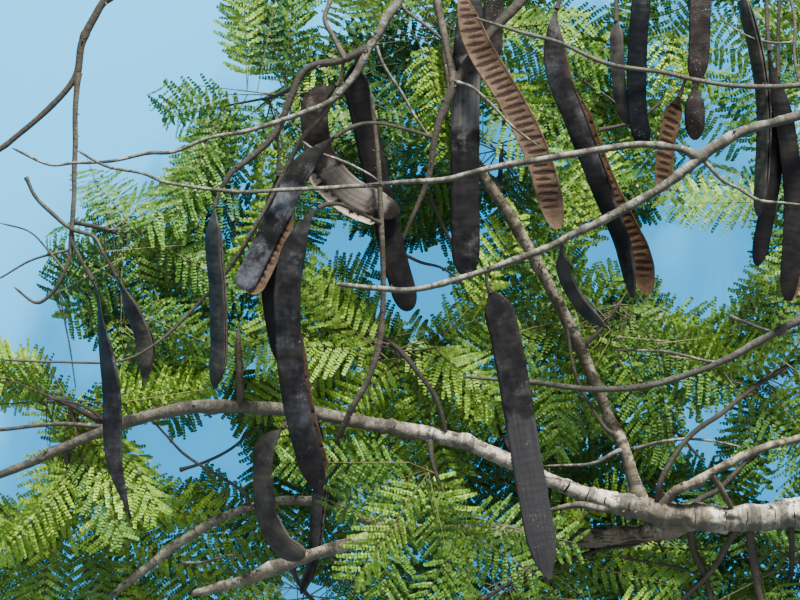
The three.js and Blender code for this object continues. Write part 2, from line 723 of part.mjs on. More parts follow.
// A leaf on a twig, never steeper than its mass has room for. The first goes on where the twig ends,
// and the others leave to one side, more so the further back they sit.
function leafOn({ start, end, heading, leaves }, { heights }, random) {
  const share = leaves === 0 ? 0.96 : 0.25 + 0.7 * random();
  const side = random() < 0.5 ? -1 : 1;
  const lean = Math.min(1, (heights[1] - heights[0]) / FROND_LENGTH);
  return {
    root: start.clone().lerp(end, share),
    heading: heading + side * (1.2 * (1 - share) + 0.7 * random()),
    pitch: lean * (0.9 * random() - 0.4),
    droop: lean * (0.2 + 0.6 * random()),
    roll: lean * (random() - 0.5) * 1.2,
    length: FROND_LENGTH * (0.8 + 0.3 * random()),
    width: FROND_WIDTH * (0.85 + 0.25 * random()),
  };
}

function growMass(name) {
  const mass = MASSES[name];
  const random = seeded(mass.seed);
  const stemCurve = new THREE.CatmullRomCurve3(mass.stem.map(place), false, "centripetal");
  const otherStems = Object.keys(MASSES).filter((other) => other !== name).map((other) => stems[other]);
  const blocked = wasm.Manifold.union([...obstacles, ...otherStems, ...grownMasses]);
  const twigs = [];
  for (let tries = 0; twigs.length < mass.twigs && tries < FROND_TRIES; tries++) {
    const twig = growTwig(mass, twigs.length, stemCurve, random);
    if (keepsToItsSpace(mass, twig.solid, blocked)) twigs.push(twig);
  }
  const base = seat(sweep(limbStations(mass.stem, 0), TWIG_SIDES), mass.carrier);
  let spray = wasm.Manifold.union([base, ...twigs.map((twig) => twig.solid)]);
  let leaves = 0;
  for (let tries = 0; leaves < mass.leaves && tries < FROND_TRIES && twigs.length > 0; tries++) {
    const twig = twigs[(leaves + Math.floor(tries / 40)) % twigs.length];
    const leaf = leafOn(twig, mass, random);
    if (!keepsToItsSpace(mass, frond(leaf, FROND_THICKNESS + 2 * LEAF_GAP), blocked)) continue;
    const blade = frond(leaf, FROND_THICKNESS);
    if (blade.intersect(spray).volume() > ROOT_VOLUME) continue;
    spray = spray.add(blade);
    twig.leaves += 1;
    leaves += 1;
  }
  const whole = largest(spray);
  grownMasses.push(whole);
  addPiece(name, whole, "leaf");
}

Object.keys(MASSES).forEach(growMass);

const bough = new THREE.Group();
for (const { name, solid, colour } of pieces) {
  const material = new THREE.MeshStandardMaterial({ ...COLOURS[colour], metalness: 0 });
  const mesh = new THREE.Mesh(toGeometry(solid), material);
  mesh.name = name;
  bough.add(mesh);
}

export default bough;
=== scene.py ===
"""Dresses the cut bough of a flame tree: bark, woody pods and feathery leaves, on a pale floor.

A place is read off the 800 x 600 picture as column and row, with a height above the floor in
millimetres, as it is in the solids. Everything built here is in metres.
"""

import logging
import math
import random
from collections.abc import Iterable
from dataclasses import dataclass, field
from enum import Enum
from functools import cache

import bpy
import numpy as np
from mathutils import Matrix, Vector, kdtree, noise


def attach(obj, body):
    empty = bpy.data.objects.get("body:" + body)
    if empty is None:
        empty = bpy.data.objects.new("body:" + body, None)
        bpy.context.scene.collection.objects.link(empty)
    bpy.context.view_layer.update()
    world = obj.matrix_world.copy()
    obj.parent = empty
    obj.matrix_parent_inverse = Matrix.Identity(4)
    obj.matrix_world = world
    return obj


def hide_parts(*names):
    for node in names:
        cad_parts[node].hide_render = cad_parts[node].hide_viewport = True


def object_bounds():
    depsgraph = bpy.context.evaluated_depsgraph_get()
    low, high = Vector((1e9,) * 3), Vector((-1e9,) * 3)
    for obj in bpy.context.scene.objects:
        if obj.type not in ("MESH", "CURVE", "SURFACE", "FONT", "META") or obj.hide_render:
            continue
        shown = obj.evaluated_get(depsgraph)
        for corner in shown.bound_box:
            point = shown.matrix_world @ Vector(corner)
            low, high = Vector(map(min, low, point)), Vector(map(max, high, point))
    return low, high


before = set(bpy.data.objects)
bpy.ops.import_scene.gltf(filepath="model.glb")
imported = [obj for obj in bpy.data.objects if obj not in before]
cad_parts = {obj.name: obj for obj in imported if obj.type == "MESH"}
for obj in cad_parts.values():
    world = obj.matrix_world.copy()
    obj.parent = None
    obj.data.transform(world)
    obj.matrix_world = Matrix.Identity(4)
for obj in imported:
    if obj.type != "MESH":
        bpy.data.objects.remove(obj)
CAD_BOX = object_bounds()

LOG = logging.getLogger("bough")
MM = 0.001
FLOOR_GAP = 0.0003
# The turn from one twig of a mass to the next, in radians.
GOLDEN_TURN = 2.399963
UP = np.array([0.0, 0.0, 1.0])

Array = np.ndarray
Material = bpy.types.Material
Socket = bpy.types.NodeSocket
Spot = tuple[float, float, float]
Station = tuple[float, float, float, float]
Routes = tuple[tuple[Station, ...], ...]
Colour = tuple[float, float, float]


@dataclass(frozen=True)
class Picture:
    """How a column, row and height of the picture becomes a point."""

    width: int = 800
    height: int = 600
    middle_x: float = -97.4
    middle_y: float = 15.1
    mm_per_pixel: float = 1.6
    scale_height: float = 300.0
    eye_height: float = 4000.0
    sensor: float = 36.0

    def spread(self, height: Array) -> Array:
        """Millimetres that a pixel covers at a height."""
        return self.mm_per_pixel * (self.eye_height - height) / (self.eye_height - self.scale_height)

    def place(self, spots: list[Spot] | tuple[Spot, ...]) -> Array:
        """Points in metres of some column, row and height triples.

        Args:
            spots: The triples, with heights in millimetres.

        Returns:
            An array of one point a row.
        """
        data = np.array([spot[:3] for spot in spots], float)
        spread = self.spread(data[:, 2])
        x = self.middle_x + (data[:, 0] - self.width / 2) * spread
        y = self.middle_y + (self.height / 2 - data[:, 1]) * spread
        return np.stack([x, y, data[:, 2]], axis=1) * MM

    def seen_at(self, points: Array) -> Array:
        """Columns and rows where points in metres are seen.

        Args:
            points: One point a row.

        Returns:
            An array of column and row pairs.
        """
        mm = points / MM
        spread = self.spread(mm[:, 2])
        columns = self.width / 2 + (mm[:, 0] - self.middle_x) / spread
        rows = self.height / 2 - (mm[:, 1] - self.middle_y) / spread
        return np.stack([columns, rows], axis=1)

    def add_camera(self) -> None:
        """Adds the camera that looks straight down and takes in the picture."""
        data = bpy.data.cameras.new("down_camera")
        distance = (self.eye_height - self.scale_height) / (self.mm_per_pixel * self.width)
        data.sensor_width = self.sensor
        data.lens = self.sensor * distance
        data.clip_start, data.clip_end = 0.1, 50.0
        camera = bpy.data.objects.new("down_camera", data)
        camera.location = (self.middle_x * MM, self.middle_y * MM, self.eye_height * MM)
        bpy.context.scene.collection.objects.link(camera)
        bpy.context.scene.camera = camera


PICTURE = Picture()


class Route:
    """A smooth line through given points, the same curve that the solids follow."""

    def __init__(self, points: Array, fine: int = 24) -> None:
        """Samples the curve densely.

        Args:
            points: The points it passes through, in metres.
            fine: How many samples each span gets.
        """
        ends = [2 * points[0] - points[1], *points, 2 * points[-1] - points[-2]]
        self.spans = len(points) - 1
        samples = []
        for i in range(self.spans):
            share = np.linspace(0, 1, fine, endpoint=False)[:, None]
            samples.append(self._span(*ends[i:i + 4], share))
        samples.append(points[-1:])
        self.points = np.concatenate(samples)
        self.shares = np.linspace(0, 1, len(self.points))
        steps = np.linalg.norm(np.diff(self.points, axis=0), axis=1)
        self.run = np.concatenate([[0.0], np.cumsum(steps)])
        self.length = float(self.run[-1])

    @staticmethod
    def _span(p0: Array, p1: Array, p2: Array, p3: Array, t: Array) -> Array:
        """One centripetal span of the curve.

        Args:
            p0: The point before it.
            p1: Its first point.
            p2: Its last point.
            p3: The point after it.
            t: Shares of the span.

        Returns:
            Its points at those shares.
        """
        d0, d1, d2 = (math.sqrt(np.linalg.norm(b - a)) for a, b in ((p0, p1), (p1, p2), (p2, p3)))
        leave = ((p1 - p0) / d0 - (p2 - p0) / (d0 + d1) + (p2 - p1) / d1) * d1
        arrive = ((p2 - p1) / d1 - (p3 - p1) / (d1 + d2) + (p3 - p2) / d2) * d1
        c2 = -3 * p1 + 3 * p2 - 2 * leave - arrive
        c3 = 2 * p1 - 2 * p2 + leave + arrive
        return p1 + leave * t + c2 * t ** 2 + c3 * t ** 3

    def by_length(self, shares: Array) -> tuple[Array, Array, Array]:
        """Points at shares of the length.

        Args:
            shares: Shares from 0 to 1.

        Returns:
            The points, their unit directions, and the curve's own share at each.
        """
        run = np.clip(shares, 0, 1) * self.length
        points = np.stack([np.interp(run, self.run, self.points[:, k]) for k in range(3)], axis=1)
        slopes = np.gradient(self.points, self.run, axis=0)
        direction = np.stack([np.interp(run, self.run, slopes[:, k]) for k in range(3)], axis=1)
        return points, unit(direction), np.interp(run, self.run, self.shares)


def unit(vectors: Array) -> Array:
    """Vectors brought to a length of 1."""
    return vectors / np.linalg.norm(vectors, axis=-1, keepdims=True)


def drift(run: Array, pitch: float, row: float, layer: float) -> Array:
    """Smooth noise at distances along a piece, read from one line of the noise."""
    return np.array([noise.noise(Vector((r * pitch, row, layer))) for r in run])


def around_line(side: Array, face: Array, turn: Array) -> Array:
    """Unit vectors at angles about a line, one ring for each place on it."""
    return side[:, None] * np.cos(turn)[None, :, None] + face[:, None] * np.sin(turn)[None, :, None]


def full_turn(count: int) -> Array:
    """Angles that share out a whole turn."""
    return np.linspace(0, 2 * math.pi, count, endpoint=False)


def level_frames(direction: Array, roll: Array) -> tuple[Array, Array]:
    """The level side and the upward face of a flat thing that runs along a direction.

    Args:
        direction: Unit directions.
        roll: The turn about each direction, in radians.

    Returns:
        Unit side vectors and unit face vectors.
    """
    level = unit(np.cross(direction, UP))
    rise = np.cross(direction, level)
    side = level * np.cos(roll)[:, None] + rise * np.sin(roll)[:, None]
    return side, np.cross(side, direction)


def ease(share: Array) -> Array:
    """A smooth step from 0 to 1."""
    s = np.clip(share, 0, 1)
    return s * s * (3 - 2 * s)


@dataclass
class Draft:
    """A mesh being gathered from arrays."""

    points: list[Array] = field(default_factory=list)
    corners: list[Array] = field(default_factory=list)
    sizes: list[Array] = field(default_factory=list)
    slots: list[Array] = field(default_factory=list)
    uvs: list[Array] = field(default_factory=list)
    hollows: list[Array] = field(default_factory=list)
    count: int = 0

    def add(self, points: Array, faces: Array, slot: int | Array = 0,
            uv: Array | None = None, hollow: Array | None = None) -> None:
        """Adds points and faces that all have the same number of corners.

        Args:
            points: Points, in rows or in rings.
            faces: Point numbers, one face a row.
            slot: The material of every face, or one for each.
            uv: Across and along for each point, in metres.
            hollow: How far each point lies in a seed hollow, from 0 to 1.
        """
        points = points.reshape(-1, 3)
        self.hollows.append(np.zeros(len(points)) if hollow is None else hollow.ravel())
        self.points.append(points)
        self.corners.append((faces + self.count).ravel())
        self.sizes.append(np.full(len(faces), faces.shape[1]))
        self.slots.append(np.broadcast_to(np.asarray(slot), (len(faces),)))
        spots = np.zeros((len(points), 2)) if uv is None else uv.reshape(-1, 2)
        self.uvs.append(spots[faces.ravel()])
        self.count += len(points)

    def finish(self, name: str, materials: list[Material], smooth: bool = True) -> bpy.types.Object:
        """Makes the Blender object.

        Args:
            name: The piece's name.
            materials: Its materials, in slot order.
            smooth: Whether it is shaded smooth.

        Returns:
            The new object, linked to the scene.
        """
        points = np.concatenate(self.points)
        points[:, 2] = np.maximum(points[:, 2], FLOOR_GAP)
        corners = np.concatenate(self.corners)
        sizes = np.concatenate(self.sizes)
        mesh = bpy.data.meshes.new(name)
        mesh.vertices.add(len(points))
        mesh.vertices.foreach_set("co", points.astype(np.float32).ravel())
        mesh.loops.add(len(corners))
        mesh.loops.foreach_set("vertex_index", corners.astype(np.int32))
        mesh.polygons.add(len(sizes))
        starts = np.concatenate([[0], np.cumsum(sizes)[:-1]])
        mesh.polygons.foreach_set("loop_start", starts.astype(np.int32))
        mesh.polygons.foreach_set("material_index", np.concatenate(self.slots).astype(np.int32))
        mesh.polygons.foreach_set("use_smooth", np.full(len(sizes), smooth))
        layer = mesh.uv_layers.new(name="across_along")
        layer.data.foreach_set("uv", np.concatenate(self.uvs).astype(np.float32).ravel())
        hollows = np.concatenate(self.hollows)
        if hollows.any():
            values = mesh.attributes.new("hollow", "FLOAT", "POINT").data
            values.foreach_set("value", hollows.astype(np.float32))
        mesh.update(calc_edges=True)
        mesh.validate()
        for material in materials:
            mesh.materials.append(material)
        piece = bpy.data.objects.new(name, mesh)
        bpy.context.scene.collection.objects.link(piece)
        return piece


def loft(rings: Array, closed: bool = True) -> Array:
    """The quads that join rings of points, where a ring's points follow one another.

    Args:
        rings: An array of rings by points by three, used for its shape only.
        closed: Whether each ring's last point joins its first.

    Returns:
        Point numbers, one quad a row.
    """
    count, around = rings.shape[:2]
    last = around if closed else around - 1
    i, j = np.meshgrid(np.arange(count - 1), np.arange(last), indexing="ij")
    i, j = i.ravel(), j.ravel()
    k = (j + 1) % around
    return np.stack([i * around + j, i * around + k, (i + 1) * around + k, (i + 1) * around + j], axis=1)


def settle(piece: bpy.types.Object, nodes: tuple[str, ...] = ()) -> None:
    """Rides a piece on the bough, and lets it stand for solids.

    Args:
        piece: The piece.
        nodes: The solids that it stands for.
    """
    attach(piece, "root")
    if nodes:
        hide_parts(*nodes)
    LOG.info("%s: %d faces", piece.name, len(piece.data.polygons))


class Shader:
    """A small helper that wires up one material's nodes."""

    def __init__(self, name: str) -> None:
        """Starts an empty material with its surface shader.

        Args:
            name: The material's name.
        """
        self.material = bpy.data.materials.new(name)
        self.material.use_nodes = True
        self.tree = self.material.node_tree
        self.surface = self.tree.nodes["Principled BSDF"]

    def node(self, kind: str, inputs: dict[str | int, object], **settings: object) -> bpy.types.Node:
        """Adds a node with its settings, and sets or links its inputs.

        Args:
            kind: The node's type, less Blender's own first words.
            inputs: Values or sockets, by the input's name or place.
            **settings: The node's settings.

        Returns:
            The new node.
        """
        made = self.tree.nodes.new("ShaderNode" + kind)
        for name, value in settings.items():
            setattr(made, name, value)
        for key, value in inputs.items():
            self.put(made.inputs[key], value)
        return made

    def put(self, socket: Socket, value: object) -> None:
        """Links a socket to another, or sets its value.

        Args:
            socket: The input.
            value: A socket or a plain value.
        """
        if isinstance(value, Socket):
            self.tree.links.new(value, socket)
        else:
            socket.default_value = value

    @staticmethod
    def full(colour: object) -> object:
        """A colour socket as it is, or an RGB triple with its alpha."""
        return colour if isinstance(colour, Socket) else (*colour, 1.0)

    def coordinates(self, kind: str, stretch: Spot = (1.0, 1.0, 1.0)) -> Socket:
        """Coordinates of a kind, Object or UV, stretched along each axis."""
        source = self.node("TexCoord", {}).outputs[kind]
        return self.node("Mapping", {"Vector": source, "Scale": stretch}).outputs["Vector"]

    def noise(self, where: Socket, scale: float, detail: float = 4.0, roughness: float = 0.55) -> Socket:
        """A noise pattern's value."""
        inputs = {"Vector": where, "Scale": scale, "Detail": detail, "Roughness": roughness}
        return self.node("TexNoise", inputs).outputs[0]

    def ramp(self, value: Socket, low: float, high: float, start: float = 0.0, end: float = 1.0) -> Socket:
        """Maps a value smoothly from low..high to start..end, held at both ends."""
        inputs = {"Value": value, "From Min": low, "From Max": high, "To Min": start, "To Max": end}
        return self.node("MapRange", inputs, interpolation_type="SMOOTHSTEP").outputs["Result"]

    def mix(self, share: Socket | float, first: object, second: object) -> Socket:
        """Blends two colours, sockets or RGB triples; the share is how much of the second shows."""
        inputs = {0: share, 6: self.full(first), 7: self.full(second)}
        return self.node("Mix", inputs, data_type="RGBA").outputs[2]

    def math(self, operation: str, first: object, second: object = 0.0) -> Socket:
        """One sum, product or other operation on two values."""
        return self.node("Math", {0: first, 1: second}, operation=operation).outputs[0]

    def facing(self, direction: Spot) -> Socket:
        """How squarely the surface faces a direction, from -1 to 1."""
        inputs = {0: self.node("TexCoord", {}).outputs["Normal"], 1: Vector(direction).normalized()}
        return self.node("VectorMath", inputs, operation="DOT_PRODUCT").outputs["Value"]

    def bump(self, height: Socket, strength: float, distance: float, under: Socket | None = None) -> Socket:
        """A bump of a height in metres, on top of another bump if one is given."""
        inputs = {"Height": height, "Strength": strength, "Distance": distance}
        return self.node("Bump", inputs | ({"Normal": under} if under else {})).outputs["Normal"]

    def dress(self, colour: object, roughness: object, normal: Socket | None = None,
              specular: float = 0.5) -> Material:
        """Feeds the surface and hands the material over.

        Args:
            colour: A colour socket or an RGB triple.
            roughness: A socket or a number.
            normal: The bumped normal.
            specular: How strongly it mirrors light.

        Returns:
            The finished material.
        """
        self.put(self.surface.inputs["Base Color"], self.full(colour))
        self.put(self.surface.inputs["Roughness"], roughness)
        self.surface.inputs["Specular IOR Level"].default_value = specular
        if normal is not None:
            self.put(self.surface.inputs["Normal"], normal)
        return self.material


@dataclass(frozen=True)
class Zone:
    """A stretch along a piece, in metres from its start, that is coloured or shaded in its own way."""

    start: float
    end: float
    colour: Colour
    share: float


@dataclass(frozen=True)
class BarkFinish:
    """Bark: pale ground, brown clouds, dark bands and blotches, pale flecks, wrinkles, and a painted shade.

    The painted shade darkens the side that faces away from a given light direction, as if the bark were lit
    from there. Scales are those of the noise, per metre.
    """

    name: str
    pale: Colour
    cloud: Colour
    dark: Colour
    band: float
    fleck: Colour
    wrinkle: float
    roughness: float = 0.85
    zones: tuple[Zone, ...] = ()
    # Painted shade: under is the shade colour painted on the side that faces away from the light, and the
    # next field is the direction the light is taken to come from.
    under: Colour = (0.045, 0.041, 0.030)
    painted_light_side: Spot = (0.30, 0.92, 0.25)
    cloud_scale: float = 34.0
    blotch_scale: float = 110.0
    fleck_scale: float = 260.0
    grain_scale: float = 300.0

    def make(self) -> Material:
        """Builds the bark material.

        Returns:
            The material.
        """
        shader = Shader(self.name)
        spot = shader.coordinates("Object")
        across = shader.coordinates("UV", (7.0, 60.0, 1.0))
        bands = shader.coordinates("UV", (9.0, 34.0, 1.0))
        clouds = shader.ramp(shader.noise(spot, self.cloud_scale, 6.0, 0.65), 0.41, 0.57)
        colour = shader.mix(clouds, self.pale, self.cloud)
        for zone in self.zones:
            colour = shader.mix(self.inside(shader, zone, spot), colour, zone.colour)
        broad = shader.ramp(shader.noise(bands, 1.0, 5.0, 0.65), self.band, self.band + 0.13, 0.0, 0.85)
        colour = shader.mix(broad, colour, self.dark)
        blotches = shader.ramp(shader.noise(spot, self.blotch_scale, 5.0, 0.65), 0.54, 0.61, 0.0, 0.88)
        colour = shader.mix(blotches, colour, self.dark)
        rings = shader.noise(across, 2.2, 6.0, 0.7)
        colour = shader.mix(shader.ramp(rings, 0.55, 0.68, 0.0, 0.7), colour, self.dark)
        flecks = shader.ramp(shader.noise(spot, self.fleck_scale, 3.0), 0.63, 0.74, 0.0, 0.5)
        colour = shader.mix(flecks, colour, self.fleck)
        # Painted shade: darkens the bark on the side that faces away from the light.
        painted_shade = shader.ramp(shader.facing(self.painted_light_side), -0.15, 0.75, 0.72, 0.0)
        colour = shader.mix(painted_shade, colour, self.under)
        coarse = shader.bump(rings, self.wrinkle, 0.004)
        normal = shader.bump(shader.noise(spot, self.grain_scale, 6.0, 0.65), 0.6, 0.0012, coarse)
        return shader.dress(colour, self.roughness, normal, 0.2)

    @staticmethod
    def inside(shader: Shader, zone: Zone, spot: Socket) -> Socket:
        """How much of a zone's colour shows, with a wandering border.

        Args:
            shader: The material's shader.
            zone: The stretch.
            spot: Object coordinates.

        Returns:
            The share's socket.
        """
        along = shader.node("SeparateXYZ", {"Vector": shader.coordinates("UV")}).outputs[1]
        wander = shader.ramp(shader.noise(spot, 28.0, 4.0), 0.2, 0.8, -0.05, 0.05)
        place = shader.math("ADD", along, wander)
        begun = shader.ramp(place, zone.start - 0.02, zone.start + 0.02)
        ended = shader.ramp(place, zone.end - 0.02, zone.end + 0.02)
        return shader.math("MULTIPLY", shader.math("SUBTRACT", begun, ended), zone.share)


@dataclass(frozen=True)
class HuskFinish:
    """A dry pod's outside: dark husk, grey streaks that are partly the husk's own grey and partly a painted
    sheen, and fine pale specks of lichen.
    """

    name: str
    dark: Colour = (0.0038, 0.0040, 0.0052)
    brown: Colour = (0.0098, 0.0088, 0.0084)
    bloom_and_sheen: Colour = (0.024, 0.026, 0.032)
    bloom_and_sheen_share: float = 0.5
    lichen: Colour = (0.20, 0.20, 0.20)
    lichen_share: float = 0.3
    zone: Zone | None = None
    gloss: float = 0.44
    cloud_scale: float = 38.0
    bloom_and_sheen_scale: float = 15.0
    speck_scale: float = 480.0
    grain_scale: float = 620.0

    def make(self) -> Material:
        """Builds the husk material.

        Returns:
            The material.
        """
        shader = Shader(self.name)
        spot = shader.coordinates("Object")
        across = shader.coordinates("UV", (20.0, 150.0, 1.0))
        along = shader.coordinates("UV", (240.0, 7.0, 1.0))
        streaks = shader.noise(along, 1.0, 5.0, 0.6)
        clouds = shader.ramp(shader.noise(spot, self.cloud_scale, 5.0), 0.38, 0.66)
        colour = shader.mix(clouds, self.dark, self.brown)
        # Partly a painted sheen: pale bluish grey patches, in streaks, over the dark husk.
        bloom_and_sheen = shader.noise(spot, self.bloom_and_sheen_scale, 6.0, 0.65)
        bloom_and_sheen = shader.ramp(bloom_and_sheen, 0.68 - 0.34 * self.bloom_and_sheen_share, 0.80, 0.0, 0.9)
        if self.zone:
            bloom_and_sheen = shader.math("MAXIMUM", bloom_and_sheen, BarkFinish.inside(shader, self.zone, spot))
        bloom_and_sheen = shader.math("MULTIPLY", bloom_and_sheen, shader.ramp(streaks, 0.30, 0.62, 0.6, 1.0))
        colour = shader.mix(bloom_and_sheen, colour, self.zone.colour if self.zone else self.bloom_and_sheen)
        patches = shader.ramp(shader.noise(spot, 30.0, 4.0), 0.64 - 0.30 * self.lichen_share, 0.72)
        specks = shader.ramp(shader.noise(spot, self.speck_scale, 3.0, 0.6), 0.62, 0.68, 0.0, 0.8)
        colour = shader.mix(shader.math("MULTIPLY", patches, specks), colour, self.lichen)
        ribs = shader.noise(across, 1.0, 4.0, 0.6)
        coarse = shader.bump(ribs, 0.3, 0.0014)
        grain = shader.bump(streaks, 0.4, 0.0007, coarse)
        normal = shader.bump(shader.noise(spot, self.grain_scale, 3.0), 0.3, 0.0004, grain)
        rough = shader.ramp(shader.noise(spot, 60.0, 4.0), 0.3, 0.7, self.gloss - 0.08, self.gloss + 0.2)
        return shader.dress(colour, rough, normal, 0.11)


@dataclass(frozen=True)
class LiningFinish:
    """The tan inside of an open pod, with the dark hollows where the seeds lay."""

    name: str
    light: Colour
    deep: Colour
    hollow: Colour = (0.018, 0.010, 0.008)
    roughness: float = 0.85
    cloud_scale: float = 70.0

    def make(self) -> Material:
        """Builds the lining material.

        Returns:
            The material.
        """
        shader = Shader(self.name)
        spot = shader.coordinates("Object")
        across = shader.coordinates("UV", (60.0, 420.0, 1.0))
        clouds = shader.ramp(shader.noise(spot, self.cloud_scale, 6.0, 0.65), 0.35, 0.66)
        colour = shader.mix(clouds, self.light, self.deep)
        fibres = shader.noise(across, 1.0, 5.0, 0.7)
        colour = shader.mix(shader.ramp(fibres, 0.48, 0.70, 0.0, 0.7), colour, self.deep)
        hollow = shader.node("Attribute", {}, attribute_name="hollow").outputs["Fac"]
        shade = shader.ramp(hollow, 0.25, 0.75, 0.0, 0.95)
        colour = shader.mix(shade, colour, self.hollow)
        normal = shader.bump(fibres, 0.6, 0.0009)
        return shader.dress(colour, self.roughness, normal, 0.12)


@dataclass(frozen=True)
class LeafFinish:
    """One plain green, since each whole leaf is given one colour of its own."""

    name: str
    colour: Colour
    roughness: float = 0.5

    def make(self) -> Material:
        """Builds the leaf material."""
        return Shader(self.name).dress(self.colour, self.roughness, None, 0.2)


class Bark(Enum):
    """The kinds of bark on the bough."""

    # Along the main bough: a brown stretch at the fork, a pale middle stretch that is partly painted light,
    # and a dark stretch towards the thin end that is partly painted shade.
    BOUGH = BarkFinish(
        "bough_bark", (0.52, 0.50, 0.415), (0.165, 0.155, 0.122), (0.026, 0.024, 0.021), 0.46,
        (0.56, 0.55, 0.48), 0.8, under=(0.070, 0.066, 0.050),
        zones=(Zone(0.57, 0.74, (0.095, 0.072, 0.048), 0.75), Zone(0.74, 1.12, (0.47, 0.43, 0.34), 0.7),
        Zone(1.08, 2.0, (0.070, 0.064, 0.046), 0.88)))
    PEELING = BarkFinish(
        "peeling_bark", (0.50, 0.465, 0.365), (0.165, 0.144, 0.105), (0.028, 0.023, 0.018), 0.46,
        (0.48, 0.45, 0.39), 0.8, under=(0.095, 0.085, 0.062),
        zones=(Zone(0.08, 0.50, (0.095, 0.058, 0.040), 0.7), Zone(0.72, 1.2, (0.12, 0.108, 0.078), 0.6)))
    TAN = BarkFinish(
        "tan_bark", (0.29, 0.262, 0.190), (0.086, 0.074, 0.050), (0.022, 0.018, 0.013), 0.47,
        (0.38, 0.35, 0.29), 0.65)
    GREY = BarkFinish(
        "grey_bark", (0.180, 0.182, 0.152), (0.052, 0.053, 0.042), (0.016, 0.015, 0.012), 0.47,
        (0.40, 0.39, 0.35), 0.6)
    # Painted light, in part: a lighter copy of the bark for the low side limb, which lies in shade.
    SHADED = BarkFinish(
        "painted_light_bark", (0.34, 0.33, 0.25), (0.155, 0.15, 0.108), (0.030, 0.026, 0.020), 0.47,
        (0.44, 0.42, 0.35), 0.6, under=(0.085, 0.082, 0.058))
    DIM = BarkFinish(
        "dim_bark", (0.066, 0.068, 0.057), (0.032, 0.033, 0.027), (0.014, 0.013, 0.011), 0.54,
        (0.19, 0.19, 0.17), 0.5)
    BROWN = BarkFinish(
        "brown_bark", (0.066, 0.056, 0.043), (0.034, 0.028, 0.021), (0.013, 0.010, 0.009), 0.55,
        (0.22, 0.19, 0.16), 0.5, 0.75)
    DARK = BarkFinish(
        "dark_bark", (0.028, 0.025, 0.021), (0.016, 0.013, 0.011), (0.008, 0.006, 0.005), 0.56,
        (0.10, 0.092, 0.08), 0.5, 0.8)
    GREEN = BarkFinish(
        "green_shoot_bark", (0.085, 0.090, 0.035), (0.05, 0.048, 0.022), (0.022, 0.018, 0.010), 0.60,
        (0.14, 0.135, 0.08), 0.3, 0.7)


class Husk(Enum):
    """The finishes of the pods."""

    CHARCOAL = HuskFinish("charcoal_husk")
    PLAIN = HuskFinish("plain_husk", bloom_and_sheen_share=0.2, lichen_share=0.05)
    STREAKED = HuskFinish("streaked_husk", bloom_and_sheen=(0.050, 0.053, 0.062), bloom_and_sheen_share=0.7, lichen_share=0.4)
    CRUSTED = HuskFinish("crusted_husk", bloom_and_sheen=(0.15, 0.17, 0.20), bloom_and_sheen_share=0.72, lichen_share=0.6)
    # Partly painted light: from 0.21 m on, the husk is greyer, as the part that lies out of a branch's
    # shadow.
    HALF_GREY = HuskFinish(
        "half_grey_husk", lichen_share=0.4, zone=Zone(0.21, 2.0, (0.027, 0.027, 0.0295), 0.9))
    BANDED = HuskFinish("banded_husk", lichen_share=0.15, zone=Zone(0.17, 0.25, (0.085, 0.085, 0.085), 0.9))
    CURLED = HuskFinish(
        "curled_husk", (0.007, 0.006, 0.006), (0.020, 0.015, 0.012), lichen_share=0.2,
        zone=Zone(0.16, 0.265, (0.13, 0.115, 0.10), 0.85))
    BLUE = HuskFinish(
        "blue_black_husk", (0.0018, 0.0028, 0.0042), (0.003, 0.0046, 0.0064), (0.010, 0.015, 0.020), 0.4,
        lichen_share=0.05, gloss=0.36)
    # Painted light, in part: a lighter husk for pods that lie in the shade of the limbs and leaves.
    LIGHTENED = HuskFinish(
        "painted_light_husk", (0.0135, 0.0140, 0.0142), (0.033, 0.032, 0.028), (0.064, 0.063, 0.058), 0.6,
        lichen_share=0.3)
    SPOTTED = HuskFinish(
        "spotted_husk", (0.0055, 0.0048, 0.0045), (0.0135, 0.0108, 0.0095), (0.032, 0.031, 0.028), 0.6,
        lichen_share=0.8)


class Lining(Enum):
    """What shows inside an open pod."""

    TAN = LiningFinish("tan_lining", (0.088, 0.060, 0.039), (0.045, 0.029, 0.019))
    RUST = LiningFinish("rust_lining", (0.070, 0.040, 0.022), (0.034, 0.021, 0.012), (0.014, 0.008, 0.005))
    ROSE = LiningFinish("rose_lining", (0.28, 0.19, 0.16), (0.16, 0.09, 0.07))
    PALE = LiningFinish("pale_lining", (0.36, 0.31, 0.25), (0.17, 0.135, 0.10))


class Green(Enum):
    """The greens of the leaves, each for whole leaves, and the colour of their ribs.

    The greens differ partly at random and partly as painted light and shade: the lighter ones stand for
    sunlit leaves, the darker ones for leaves in shade.
    """

    SUN = LeafFinish("sunlit_green", (0.205, 0.360, 0.034))
    FRESH = LeafFinish("fresh_green", (0.130, 0.250, 0.022))
    MID = LeafFinish("mid_green", (0.064, 0.150, 0.016))
    DEEP = LeafFinish("deep_green", (0.036, 0.098, 0.010))
    BLUISH = LeafFinish("bluish_green", (0.020, 0.066, 0.018))
    STALK = LeafFinish("leaf_stalk", (0.09, 0.09, 0.03), 0.55)


@cache
def finish_of(choice: Enum) -> Material:
    """The material of a finish, made when it is first asked for."""
    return choice.value.make()


def finishes_of(choices: Iterable[Enum]) -> list[Material]:
    """The materials of some finishes, in their order."""
    return [finish_of(choice) for choice in choices]


@dataclass(frozen=True)
class LimbPlan:
    """A limb's route as column, row, height and thickness, with its bark, its relief and its knobs.

    A knob is a place along the limb in metres, a reach along it in metres, and an extra share of radius.
    """

    route: tuple[Station, ...]
    bark: Bark
    relief: float = 1.0
    knobs: tuple[tuple[float, float, float], ...] = ()

    def radii(self, line: Route, own: Array) -> Array:
        """The limb's radius in metres at shares of its line's spans."""
        half = np.array([spot[3] for spot in self.route]) * MM / 2
        return np.interp(own * line.spans, np.arange(len(half)), half)


